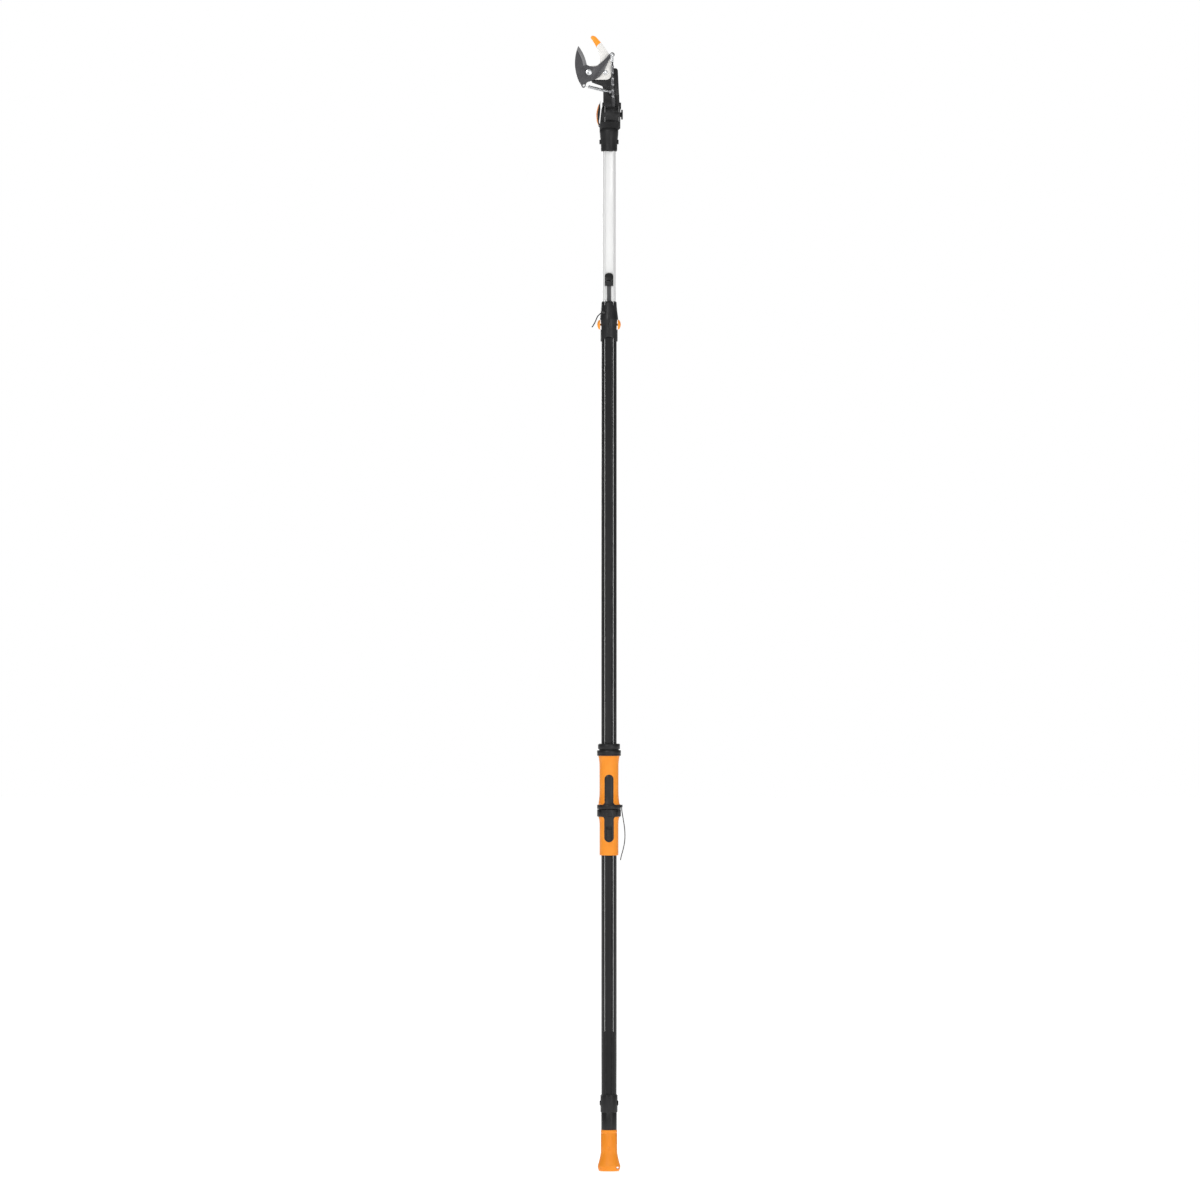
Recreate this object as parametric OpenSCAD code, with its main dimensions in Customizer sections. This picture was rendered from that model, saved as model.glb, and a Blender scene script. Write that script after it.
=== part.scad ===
// Telescopic tree pruner: a bypass blade and hook on a two-part pole, worked by a sliding handle or a pull knob.
// Origin on the pole's axis at the knob's foot, +Z up the pole, -Y the side with the strap groove.

/* [Poles] */
// Outside diameter of the outer pole
outer_d = 32.4; // [30:0.2:40]
// Wall of the outer pole
outer_wall = 1.5; // [1.2:0.1:1.8]
// Length of the outer pole
outer_len = 1648; // [1300:10:2000]
// Wall of the inner pole
inner_wall = 1.3; // [1:0.1:1.6]
// Sliding gap between the poles, all round
pole_gap = 0.4; // [0.3:0.05:0.6]
// Length of inner pole that shows when it is pushed in
shown_len = 318; // [200:2:400]
// Width of the strap groove in the outer pole
groove_w = 12.8; // [11:0.2:14]
// Width of the strap
strap_w = 8.4; // [6:0.2:9]
// Thickness of the strap
strap_t = 1.2; // [0.8:0.1:1.4]

/* [Knob] */
// Length of the pull knob
knob_len = 87; // [75:1:110]
// How far the knob's grip stands out past the neck tube
knob_step = 0.8; // [0.2:0.1:3]
// How far the knob's flared foot stands out past its grip
knob_flare = 6.6; // [5:0.1:12]
// Radius of the hanging hole
hang_r = 2.5; // [1.5:0.1:3]
// Length of the neck tube above the knob
neck_len = 37.2; // [25:0.2:50]
// Radius of the guide rod inside the pole
rod_r = 12; // [10:0.1:12.2]

/* [Collars] */
// Length of the end collar
end_collar_len = 37.6; // [32:0.2:50]
// Length of the collar that locks the poles
collar_len = 85; // [78:1:110]
// Wall of the lock collar over the outer pole, at its waist
collar_wall = 3.4; // [3.2:0.1:6]
// Travel of each side button
button_travel = 2.5; // [1:0.1:2.8]

/* [Handle] */
// Height of the handle's lower end above the foot
handle_z = 668.9; // [500:1:900]
// Length of the lower grip
lower_grip_len = 82; // [70:1:100]
// Length of the upper grip
upper_grip_len = 103.5; // [90:0.5:130]
// How far the rings that guard the hands stand out past the grips
guard_out = 5.3; // [4:0.1:9]
// Wall of the grips over the slider's core, at their waist
grip_wall = 2; // [1.6:0.1:4]
// Travel of the handle and the knob
pull_travel = 100; // [80:1:110]
// Travel of the thumb button
thumb_travel = 6; // [3:0.5:7]

/* [Head] */
// Radius of the tilting hub
hub_r = 17.5; // [16:0.1:18]
// Height of the tilt axis above the adapter's lower end
tilt_up = 78; // [76:0.5:90]
// Blade pivot, left of the pole's axis
pivot_left = 42.6; // [40:0.2:46]
// Blade pivot, above the tilt axis
pivot_up = 89.6; // [86:0.2:96]
// Thickness of the blade
blade_t = 4; // [3:0.1:4.2]
// Thickness of the hook plate
hook_t = 4; // [3:0.1:4.2]
// Radius of the blade's pivot bolt
pivot_r = 4; // [3:0.1:4.8]
// Pitch of the pull chain
chain_pitch = 12.7; // [12:0.1:13]
// Number of chain links
chain_links = 7; // [5:1:7]
// Width of the ground bevel on the blade
bevel_w = 7.5; // [3:0.5:9]

/* [Hidden] */
$fn = 64;
eps = 0.02;
fit = 0.05;
gap = 0.3;
big = 200;

// Poles
outer_r = outer_d / 2;
outer_bore = outer_r - outer_wall;
inner_r = outer_bore - pole_gap;
inner_bore = inner_r - inner_wall;
groove_floor = outer_r - 2.2;
rib_in = groove_floor - 1.6;
rib_half = groove_w / 2 + 1.5;
trough_half = rib_half + gap;
trough_floor = rib_in - strap_t - 1.4;
trough_wall = 1.2;
slot_w = 2;
slot_x = groove_w / 2 - slot_w / 2 - 0.2;

// Pieces round the poles
neck_r = outer_r + 0.4;
knob_r = neck_r + knob_step;
knob_flare_r = knob_r + knob_flare;
end_collar_r = outer_r + 2.1;
collar_r = outer_r + collar_wall;
barrel_r = inner_r + 3;

// Heights up the pole
neck_top = knob_len + neck_len;
end_collar_top = neck_top + end_collar_len;
pole_low = neck_top + 5.8;
pole_top = pole_low + outer_len;
collar_low = pole_top - 20;
collar_top = collar_low + collar_len;
rod_top = end_collar_top + pull_travel + 18;
inner_low = rod_top + 10;
adapter_low = collar_top + shown_len;
inner_top = adapter_low + 42;
guide_z = collar_top + 32.6;
button_z = collar_low + 35.8;

// Handle
lock_low = handle_z + lower_grip_len;
lock_high = lock_low + 15.7;
flange_low = lock_high + 0.6;
flange_high = flange_low + 9.1;
upper_top = flange_high + upper_grip_len;
handle_top = upper_top + 25.7;
core_bore = outer_r + gap;
core_r = core_bore + 1.5;
grip_r = core_r + grip_wall;
guard_r = grip_r + guard_out;

// Head
tilt_z = adapter_low + tilt_up;
pivot_x = -pivot_left;
pivot_z = tilt_z + pivot_up;
hub_left = -8.6;
hub_right = 20.9;
hub_neck = 9;
ear_gap = gap;
tilt_pin_r = 5;
rim_low = tilt_z + hub_r + 0.5;
blade_back = -2;
hook_front = blade_back + gap;
hook_back = hook_front + hook_t;
blade_front = blade_back - blade_t;
chain_y = -4.5;
lever_end = [49.4, 37.3];
hook_bolt_at = [35, 0];
tail_hole = [-11, -28.2];
spring_at = [44.7, -41.6];
spring_y = -5.2;
wire_r = 0.55;

// Route of the nylon tie's tail on the collar, from its eyelet outwards, measured from the collar's lower end
collar_tail_route = [
  [-14, -16.6, 60.8], [-15.4, -16.8, 60.4], [-17, -16.9, 59.7], [-18.7, -16.9, 58.6],
  [-20.6, -16.8, 56.6], [-22.6, -16.3, 54.9], [-24.2, -15.9, 52.8], [-25.4, -15.5, 50.4], [-26.5, -15.2, 47.9],
  [-27.6, -14.9, 45.3], [-28.8, -14.6, 42.7], [-30.2, -14.4, 39.4], [-31.9, -14.2, 36.4], [-34, -14.1, 33],
  [-36.3, -14, 30]
];
// Route of the nylon tie's tail on the handle, from its eyelet downwards, measured from the handle's lower end
handle_tail_route = [
  [26.7, -4, 101.9], [27.2, -4, 96], [28, -4, 89.8], [29, -4, 83.6], [30, -4, 77.4], [31, -4, 71.2],
  [32, -4, 65], [32.8, -4, 58.8], [33.4, -4, 52.6], [33.7, -4, 46.4], [33.8, -4, 40.2], [33.5, -4, 34],
  [32.9, -4, 27.8], [31.9, -4, 21.7], [30.6, -4, 15.6], [29.1, -4, 9.6], [27.4, -4, 3.6], [25.8, -4, -2.4],
  [24.4, -4, -10.2]
];

// Arc through three points, as n + 1 points from a to b by way of m
function turn(x) = ((x % 360) + 360) % 360;
function cross2(p, q) = p[0] * q[1] - p[1] * q[0];
function arc_centre(a, m, b) =
  let(d = 2 * (a[0] * (m[1] - b[1]) + m[0] * (b[1] - a[1]) + b[0] * (a[1] - m[1])))
  [
    ((a * a) * (m[1] - b[1]) + (m * m) * (b[1] - a[1]) + (b * b) * (a[1] - m[1])) / d,
    ((a * a) * (b[0] - m[0]) + (m * m) * (a[0] - b[0]) + (b * b) * (m[0] - a[0])) / d
  ];
function arc(a, m, b, n = 10) =
  let(
    c = arc_centre(a, m, b),
    r = norm(a - c),
    from = atan2(a[1] - c[1], a[0] - c[0]),
    to = atan2(b[1] - c[1], b[0] - c[0]),
    sweep = cross2(m - a, b - m) > 0 ? turn(to - from) : -turn(from - to)
  )
  [for (i = [0:n]) c + r * [cos(from + sweep * i / n), sin(from + sweep * i / n)]];
function pivot_point(p) = [pivot_x + p[0], pivot_z + p[1]];

// A plate in the X-Z plane, from y = back to y = front
module plate(front, back) translate([0, back, 0]) rotate([90, 0, 0]) linear_extrude(back - front) children();
// The same, with the outline measured from the blade's pivot
module head_plate(front, back) translate([pivot_x, 0, pivot_z]) plate(front, back) children();
module at_head(p) translate([pivot_x + p[0], 0, pivot_z + p[1]]) children();
module turned(points) rotate_extrude($fn = 96) polygon(points);
// Round bar along Y, from y = front to y = back
module y_bar(r, front, back) translate([0, back, 0]) rotate([90, 0, 0]) cylinder(r = r, h = back - front);
// Round bar along X, from x = low to x = high
module x_bar(r, low, high) translate([low, 0, 0]) rotate([0, 90, 0]) cylinder(r = r, h = high - low);
module span(low, high) translate(low) cube(high - low);
module ring(r_out, r_in, low, high) translate([0, 0, low]) difference() {
  cylinder(r = r_out, h = high - low, $fn = 96);
  translate([0, 0, -1]) cylinder(r = r_in, h = high - low + 2, $fn = 96);
}

// Tube along a route of points, closed at both ends
function unit(v) = v / norm(v);
module tube(route, r, sides = 8, across = [0, 0, 1]) {
  last = len(route) - 1;
  rings = [for (i = [0:last])
    let(
      along = unit(route[min(i + 1, last)] - route[max(i - 1, 0)]),
      side = unit(cross(along, across)),
      up = cross(side, along)
    )
    for (k = [0:sides - 1]) route[i] + r * (cos(360 * k / sides) * side + sin(360 * k / sides) * up)];
  walls = [for (i = [0:last - 1]) for (k = [0:sides - 1])
    [i * sides + k, i * sides + (k + 1) % sides, (i + 1) * sides + (k + 1) % sides, (i + 1) * sides + k]];
  start = [[for (k = [0:sides - 1]) sides - 1 - k]];
  end = [[for (k = [0:sides - 1]) last * sides + k]];
  polyhedron(points = rings, faces = concat(walls, start, end), convexity = 10);
}
// Coil of wire round the Z axis, from z = 0 up
function coil(r, pitch, turns, steps = 14) =
  [for (i = [0:turns * steps]) [r * cos(360 * i / steps), r * sin(360 * i / steps), pitch * i / steps]];

// ---- Outer pole and what is fixed to it ----
module outer_section(r_out, r_in) {
  difference() {
    circle(r = r_out, $fn = 96);
    circle(r = r_in, $fn = 96);
    translate([-groove_w / 2, -r_out - 1]) square([groove_w, r_out + 1 - groove_floor]);
  }
  intersection() {
    circle(r = r_out - eps, $fn = 96);
    difference() {
      translate([-rib_half, -r_out]) square([2 * rib_half, r_out - rib_in]);
      translate([-groove_w / 2, -r_out - 1]) square([groove_w, r_out + 1 - groove_floor]);
    }
  }
}
module outer_pole() color("#363637") difference() {
  translate([0, 0, pole_low]) linear_extrude(outer_len) outer_section(outer_r, outer_bore);
  // Line slot along the groove, cut right through over the handle's travel
  span([slot_x - slot_w / 2, -groove_floor - 1, pole_low - 1], [slot_x + slot_w / 2, -groove_floor + 0.7, pole_top + 1]);
  span([slot_x - slot_w / 2, -groove_floor - 1, handle_z + 100 - pull_travel],
    [slot_x + slot_w / 2, -rib_in + 1, handle_z + 196]);
}

module collar_pocket(side) span(
  [side > 0 ? outer_bore + 1.3 : -big, -8.3, button_z - 10.6], [side > 0 ? big : -outer_bore - 1.3, 8.3, button_z + 10.6]);
module pole_collar() color("#2b2b2d") difference() {
  union() {
    translate([0, 0, collar_low]) turned([
      [0, 0], [collar_r - 1.9, 0], [collar_r - 1.4, 0.6], [collar_r - 1.3, 34], [collar_r - 0.4, 42], [collar_r, 47],
      [collar_r - 0.5, 52], [collar_r - 1.8, 62], [collar_r - 2.9, 72], [collar_r - 3.4, 82],
      [collar_r - 4.1, 84.2], [collar_r - 5, collar_len], [0, collar_len]]);
    // Raised guard over the strap
    intersection() {
      span([-4.5, -collar_r - 1, collar_low + 59], [6.4, 0, collar_top - 3]);
      cylinder(r = collar_r - 1.5, h = big * 20);
    }
  }
  translate([0, 0, collar_low - 1]) cylinder(r = outer_r + eps, h = 21, $fn = 96);
  translate([0, 0, collar_low + 18]) cylinder(r = outer_bore + 0.1, h = collar_len, $fn = 96);
  for (side = [-1, 1]) collar_pocket(side);
  // Arch at the front of the lower edge and the slit above it
  translate([0, 0, collar_low - 0.1]) rotate([90, 0, 0]) linear_extrude(big) polygon(
    concat([[-13.6, -1]], arc([-13.6, 0], [0, 10.2], [13.6, 0], 16), [[13.6, -1]]));
  span([-1.2, -big, collar_low + 29], [1.4, -outer_bore - 1.2, collar_low + 59]);
}
module collar_pads() color("#8d8d8f") for (side = [-1, 1]) intersection() {
  ring(outer_bore + 0.05, inner_r + 0.05, button_z + 14, button_z + 34);
  span([side > 0 ? 4 : -outer_r - 4, -9, 0], [side > 0 ? outer_r + 4 : -4, 9, big * 20]);
}
module collar_springs() color("#b9bbbd") for (side = [-1, 1])
  translate([side * (outer_bore + 1.65), 0, button_z]) rotate([0, side * 90, 0])
    tube(coil(2.4, 1, 4), 0.3, 6);
module button(side) difference() {
  mirror([side > 0 ? 0 : 1, 0, 0]) intersection() {
    translate([0, 0, button_z]) rotate([90, 0, 0]) translate([0, 0, -8]) linear_extrude(16) polygon(concat(
      [[outer_bore + 1.4 + button_travel, -10], [collar_r, -10.2]],
      arc([collar_r + 1.9, -9.6], [collar_r + 5.3, 0], [collar_r + 1.9, 9.6], 14),
      [[collar_r, 10.2], [outer_bore + 1.4 + button_travel, 10]]));
    translate([0, 0, button_z - 20]) cylinder(r = collar_r + 5.6, h = 40);
    translate([collar_r - 2.6, 0, button_z]) scale([1, 1, 1.3]) sphere(r = 9.4, $fn = 48);
  }
  translate([side * (outer_bore + 1), 0, button_z]) rotate([0, side * 90, 0]) cylinder(r = 3, h = 6.4);
}
module button_left() color("#f5972a") button(-1);
module button_right() color("#f5972a") button(1);
module collar_tie() color("#1f1f20") translate([-10.6, 16.2 - outer_r, collar_low + 61.2])
  intersection() {
    span([-3.4, -18.6, -3], [3.4, -12, 3]);
    difference() {
      translate([0, -15.6, 0]) sphere(r = 3.2, $fn = 32);
      translate([10.6, outer_r - 16.2, -10]) cylinder(r = collar_r - 1.2, h = 20, $fn = 96);
    }
  }
module collar_tie_tail() color("#1f1f20") translate([0, 0, collar_low])
  tube(collar_tail_route, 1.2, 8);

module end_collar() color("#2a2a2c") difference() {
  union() {
    translate([0, 0, neck_top]) turned([
      [0, 0], [end_collar_r - 1, 0], [end_collar_r, 1], [end_collar_r, end_collar_len - 1.2],
      [end_collar_r - 1.1, end_collar_len], [0, end_collar_len]]);
    translate([0, 0, neck_top + 19.5]) for (side = [-1, 1]) mirror([side > 0 ? 0 : 1, 0, 0])
      rotate([0, 90, 0]) translate([0, 0, end_collar_r - 4.3]) cylinder(r = 5.4, h = 6.1);
  }
  translate([0, 0, neck_top - 1]) cylinder(r = rod_r + 0.3, h = 8);
  translate([0, 0, pole_low - eps]) cylinder(r = outer_r + eps, h = 60, $fn = 96);
  // Dips in the middle of the front, at the lower and the upper edge
  for (edge = [0, 1]) translate([0, -outer_r, edge > 0 ? end_collar_top : neck_top]) rotate([90, 0, 0])
    linear_extrude(10) polygon([[-7, edge > 0 ? 1 : -1], [-7, 0], [0, edge > 0 ? -5 : 5], [7, 0], [7, edge > 0 ? 1 : -1]]);
  translate([0, 0, neck_top + 19.5]) rotate([0, 90, 0]) cylinder(r = 1.8 + eps, h = 60, center = true);
  translate([0, 0, neck_top + 19.5]) for (side = [-1, 1]) mirror([side > 0 ? 0 : 1, 0, 0])
    rotate([0, 90, 0]) translate([0, 0, end_collar_r + 0.3]) cylinder(r = 3.4, h = 5);
}
module end_collar_screws() color("#7b7b7d") translate([0, 0, neck_top + 19.5])
  for (side = [-1, 1]) mirror([side > 0 ? 0 : 1, 0, 0]) rotate([0, 90, 0]) difference() {
    union() {
      translate([0, 0, outer_r + 0.1]) cylinder(r = 1.8, h = 3);
      translate([0, 0, end_collar_r + 0.3]) cylinder(r = 3.3, h = 1.2);
    }
    for (a = [0, 90]) rotate([0, 0, a]) translate([-2.2, -0.35, end_collar_r + 0.9]) cube([4.4, 0.7, 2]);
  }

// ---- Knob and its rod ----
module knob() color("#f39a2e") difference() {
  turned(concat(
    [[0, 0], [knob_flare_r - 3, 0]],
    arc([knob_flare_r - 2.6, 0.5], [knob_flare_r - 1, 3.6], [knob_flare_r, 9], 6),
    arc([knob_flare_r, 11], [knob_flare_r - 3.4, 23], [knob_r + 0.3, 37], 12),
    [[knob_r, 42], [knob_r, knob_len - 8], [knob_r - 0.5, knob_len - 7.4], [knob_r - 0.5, knob_len - 6.4],
      [knob_r, knob_len - 5.8], [knob_r, knob_len - 1], [knob_r - 1, knob_len], [0, knob_len]]));
  translate([0, 0, 14]) cylinder(r = rod_r + eps, h = knob_len, $fn = 96);
  translate([knob_flare_r * 0.75, 0, 7]) rotate([90, 0, 0]) cylinder(r = hang_r, h = big, center = true);
  translate([0, 0, 50]) rotate([90, 0, 0]) cylinder(r = 1.8 + eps, h = big);
  translate([0, -knob_r + 1.6, 50]) rotate([90, 0, 0]) cylinder(r = 3.4, h = big);
}
module neck_tube() color("#2c2c2e") difference() {
  ring(neck_r, rod_r + 0.1, knob_len, neck_top);
  translate([0, -neck_r - 0.6, knob_len]) cube([groove_w, 2.4, big], center = true);
}
module guide_rod() color("#8f9194") difference() {
  ring(rod_r, rod_r - 1.5, 14, rod_top - 12);
  translate([0, 0, 50]) rotate([90, 0, 0]) cylinder(r = 1.8 + eps, h = big);
}
module rod_plug() color("#1e1e20") difference() {
  union() {
    translate([0, 0, rod_top - 12]) cylinder(r = outer_bore - gap, h = 12, $fn = 96);
    translate([0, 0, rod_top - 30]) cylinder(r = rod_r - 1.5 - fit, h = 18.1, $fn = 96);
  }
  span([-rib_half - gap, -big, 0], [rib_half + gap, -rib_in + gap, big * 10]);
}
module knob_screw() color("#9b9c9e") translate([0, -knob_r + 1.6, 50]) rotate([90, 0, 0]) difference() {
  union() {
    translate([0, 0, -5]) cylinder(r = 1.8, h = 5.1);
    cylinder(r = 3.3, h = 1.2);
  }
  translate([0, 0, 1.4]) for (a = [0, 90]) rotate([0, 0, a]) cube([4.4, 0.7, 1.2], center = true);
}

// ---- Handle, which slides on the outer pole ----
// Outline of an inlay: a round end at one height, and a foot that flares out at the other
function inlay_outline(low, high, half, foot) = let(s = sign(high - low)) concat(
  arc([-s * foot, low], [-s * (half + 1), low + s * 3], [-s * half, low + s * 9], 6),
  arc([-s * half, high - s * half], [0, high], [s * half, high - s * half], 16),
  arc([s * half, low + s * 9], [s * (half + 1), low + s * 3], [s * foot, low], 6));
module inlay_prism(grow, low, high, half, foot) rotate([90, 0, 0]) linear_extrude(big)
  polygon(inlay_outline(low, high + sign(high - low) * grow, half + grow, foot + grow));
module upper_prism(grow) inlay_prism(grow, flange_high - 0.4, flange_high + 64, 9.4, 17);
module lower_prism(grow) inlay_prism(grow, lock_low + 0.4, lock_low - 53.8, 10, 14);
module upper_profile() turned(concat(
  [[core_r + fit, flange_high], [guard_r - 1.2, flange_high]],
  arc([guard_r - 3, flange_high + 2], [grip_r + 1.3, flange_high + 9], [grip_r + 0.2, flange_high + 21], 10),
  [[grip_r, flange_high + 34]],
  arc([grip_r + 0.1, upper_top - 20], [grip_r + 0.8, upper_top - 10], [grip_r + 2.7, upper_top], 8),
  [[core_r + fit, upper_top]]));
module grip_upper() color("#f59b32") difference() {
  upper_profile();
  upper_prism(fit);
}
module inlay_upper() color("#2a2a2c") intersection() {
  turned(concat(
    [[core_r + fit, flange_high], [guard_r - 0.6, flange_high]],
    arc([guard_r - 2.2, flange_high + 2.4], [grip_r + 1.9, flange_high + 10], [grip_r + 0.8, flange_high + 22], 10),
    [[grip_r + 0.6, flange_high + 36], [grip_r + 0.6, flange_high + 58], [grip_r - 0.6, flange_high + 65],
      [core_r + fit, flange_high + 65]]));
  upper_prism(0);
}
module lower_profile() turned(concat(
  [[core_r + fit, handle_z], [grip_r - 1.3, handle_z]],
  arc([grip_r - 1, handle_z + 0.1], [grip_r - 0.4, handle_z + 0.7], [grip_r - 0.1, handle_z + 1.8], 5),
  [[grip_r - 0.1, lock_low - 16], [grip_r + 0.6, lock_low - 7], [grip_r + 2.4, lock_low - gap],
    [core_r + fit, lock_low - gap]]));
module grip_lower() color("#f59b32") difference() {
  lower_profile();
  lower_prism(fit);
}
module thumb_slot(grow) span([-5.2 - grow, -big, handle_z + 31.2 - grow],
  [5.2 + grow, 0, handle_z + 55 + thumb_travel + grow]);
module inlay_lower() color("#2a2a2c") difference() {
  intersection() {
    turned([[core_r + fit, handle_z + 20], [grip_r + 0.4, handle_z + 20], [grip_r + 0.7, handle_z + 34],
      [grip_r + 0.7, lock_low - 14], [grip_r + 1.6, lock_low - 7], [grip_r + 3.2, lock_low - gap],
      [core_r + fit, lock_low - gap]]);
    lower_prism(0);
  }
  thumb_slot(gap);
}
module thumb_button() color("#3a3a3c") intersection() {
  thumb_slot(0);
  difference() {
    ring(grip_r + 2, core_r + gap, handle_z + 31.4, handle_z + 54.4);
    for (i = [0:5]) translate([0, 0, handle_z + 34.6 + 3.4 * i])
      ring(grip_r + 4, grip_r + 1.3, 0, 1.4);
  }
  span([-5, -big, 0], [5, 0, handle_z + 54.4]);
}
module slider_core() color("#232325") {
  ring(core_r, core_bore, handle_z + 2, handle_top - 2);
  // Key that runs in the pole's groove
  span([-groove_w / 2 + gap, -core_bore - 0.1, handle_z + 8], [slot_x - slot_w / 2 - 0.4, -groove_floor - gap, handle_top - 8]);
  span([slot_x - slot_w / 2 + gap, -core_bore - 0.1, handle_z + 120], [slot_x + slot_w / 2 - gap, -rib_in + 0.15, handle_z + 180]);
}
module strap_clamp() color("#77797c") span(
  [-strap_w / 2, -rib_in + 0.15, handle_z + 120], [slot_x + slot_w / 2 - gap, -rib_in + 1.1, handle_z + 180]);
module top_rings() color("#2a2a2c") turned([
  [core_r + fit, upper_top], [guard_r - 1, upper_top], [guard_r, upper_top + 1], [guard_r, upper_top + 11],
  [guard_r - 1, upper_top + 12], [core_r + 3, upper_top + 12.2], [core_r + 3, upper_top + 14.2],
  [guard_r - 3, upper_top + 14.3], [guard_r - 2, upper_top + 15.3], [guard_r - 2, handle_top - 1.4],
  [guard_r - 3.4, handle_top], [core_r + fit, handle_top]]);
module centre_flange() color("#262628") turned([
  [core_r + fit, flange_low], [guard_r - 0.8, flange_low], [guard_r, flange_low + 0.8], [guard_r, flange_high - 0.8],
  [guard_r - 0.8, flange_high], [core_r + fit, flange_high]]);
module lock_ring() color("#2f2f31") difference() {
  turned([
    [core_r + 0.08, lock_low + 0.1], [guard_r - 1, lock_low + 0.1], [guard_r, lock_low + 1.1],
    [guard_r, lock_high - 1], [guard_r - 1, lock_high], [core_r + 0.08, lock_high]]);
  // Windows to the catch, and finger flutes round the rim
  for (a = [-48, 42]) rotate([0, 0, a]) span([-2.6, -big, lock_high - 6], [2.6, -guard_r + 2.4, lock_high + 1]);
  for (a = [0:20:340]) rotate([0, 0, a + 10]) translate([0, -guard_r - 1.7, lock_low - 1]) cylinder(r = 2.2, h = 8);
}
module handle_tie() color("#1f1f20") translate([guard_r + 1, -4, handle_z + 104.6]) difference() {
  intersection() {
    span([-2.6, -3, -2.6], [2.4, 3, 2.6]);
    sphere(r = 3.4, $fn = 32);
  }
  translate([-guard_r - 1, 4, -10]) cylinder(r = guard_r + eps, h = 20, $fn = 96);
}
module handle_tie_tail() color("#1f1f20") translate([0, 0, handle_z]) tube(handle_tail_route, 1, 8, [0, 1, 0]);

// ---- Inner pole and the strap drive inside it ----
module inner_section(grow = 0) difference() {
  union() {
    difference() {
      circle(r = inner_r + grow, $fn = 96);
      circle(r = inner_bore, $fn = 96);
    }
    intersection() {
      circle(r = inner_r - eps, $fn = 96);
      translate([-trough_half - trough_wall, -inner_r]) square([2 * (trough_half + trough_wall), inner_r - trough_floor + trough_wall]);
    }
  }
  translate([-trough_half, -inner_r - 2]) square([2 * trough_half, inner_r + 2 - trough_floor]);
}
module guide_window() span([-7.2, -trough_floor - 1, guide_z + 4], [7.2, -trough_floor + 2, guide_z + 22]);
module inner_pole() color("#efefef") difference() {
  translate([0, 0, inner_low + 6]) linear_extrude(inner_top - inner_low - 6) inner_section();
  guide_window();
}
module pole_foot() color("#1e1e20") difference() {
  union() {
    translate([0, 0, inner_low]) cylinder(r = inner_r, h = 6, $fn = 96);
    translate([0, 0, inner_low + 5.9]) cylinder(r = inner_bore - fit, h = 22, $fn = 96);
  }
  translate([0, 0, inner_low - 1]) cylinder(r = 7, h = 60);
  span([-trough_half, -big, 0], [trough_half, -trough_floor, inner_low + 6]);
  span([-big, -big, inner_low + 5.8], [big, -trough_floor + trough_wall + fit, inner_low + 60]);
}
module strap_guide() color("#3b3b3d") difference() {
  intersection() {
    translate([0, 0, guide_z]) rotate([90, 0, 0]) linear_extrude(big) polygon(concat(
      [[-9, 0], [9, 0], [9, 20]], arc([8.4, 24], [0, 27.4], [-8.4, 24], 14), [[-9, 20]]));
    translate([0, 0, guide_z - 1]) rotate([0, 90, 0]) translate([0, 0, -10]) linear_extrude(20)
      polygon([for (p = concat([[0, trough_floor - 1.6], [0, inner_r + 0.3]],
        arc([2, inner_r + 1.3], [12, inner_r + 4.3], [24, inner_r + 1.3], 12), [[29, inner_r - 1.7], [29, trough_floor - 1.6]]))
        [-p[0], -p[1]]]);
  }
  // Seat on the pole's round face and in its trough
  difference() {
    cylinder(r = inner_r + eps, h = big * 20, $fn = 96);
    span([-trough_half + fit, -inner_r - 3, 0], [trough_half - fit, -trough_floor - fit, big * 20]);
  }
  // Way for the strap and its roller, open at the mouth
  span([-strap_w / 2 - gap, -trough_floor - strap_t - 0.4, guide_z - 1], [strap_w / 2 + gap, 0, guide_z + 14]);
  span([-strap_w / 2 - gap, -trough_floor - 4.7, guide_z + 3], [strap_w / 2 + gap, 0, guide_z + 18]);
  x_bar_at(guide_z + 10, -14, 1.5 + eps);
  translate([0, 0, guide_z + 9]) rotate([90, 0, 0]) linear_extrude(big)
    polygon(concat(arc([-6.2, 0.4], [0, 3.6], [6.2, 0.4], 10), arc([5.6, -0.8], [0, 2], [-5.6, -0.8], 10)));
}
module x_bar_at(z, width, r) translate([0, -trough_floor - 0.6, z]) rotate([0, 90, 0])
  cylinder(r = r, h = abs(width), center = true);
module guide_pin() color("#a5a7a9") x_bar_at(guide_z + 10, 13.8, 1.5);
module guide_roller() color("#5d5f62") difference() {
  x_bar_at(guide_z + 10, 2 * (strap_w / 2), 3);
  x_bar_at(guide_z + 10, 20, 1.5 + fit);
}
module strap() color("#3f3f41") span(
  [-strap_w / 2, -trough_floor - strap_t - 0.1, inner_low + 8], [strap_w / 2, -trough_floor - 0.1, guide_z + 5.4]);

pulley_z = adapter_low - 70;
pulley_r = 4.6;
pulley_y = 2.5;
module loop_strap() color("#3f3f41") translate([-strap_w / 2, pulley_y, pulley_z]) rotate([0, 90, 0])
  linear_extrude(strap_w) difference() {
    union() {
      circle(r = pulley_r + 0.1 + strap_t);
      translate([0, -pulley_r - 0.1 - strap_t]) square([pulley_z - guide_z - 20, 2 * (pulley_r + 0.1 + strap_t)]);
    }
    circle(r = pulley_r + 0.1);
    translate([0, -pulley_r - 0.1]) square([big * 5, 2 * (pulley_r + 0.1)]);
  }
module pulley_block() color("#c9cacc") difference() {
  union() {
    for (side = [-1, 1]) translate([side * 5.4 - 0.6, pulley_y - 5.4, pulley_z - 5]) cube([1.2, 10.8, 24]);
    translate([-6, pulley_y - 5.4, pulley_z + 16]) cube([12, 10.8, 3]);
    translate([-6, pulley_y - 3, pulley_z + 18.9]) cube([12, 6, 9]);
  }
  translate([0, pulley_y, pulley_z]) rotate([0, 90, 0]) cylinder(r = 1.6 + eps, h = 30, center = true);
  translate([-5.1, pulley_y - 0.7, pulley_z + 22]) cube([10.2, 1.4, 9]);
}
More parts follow.
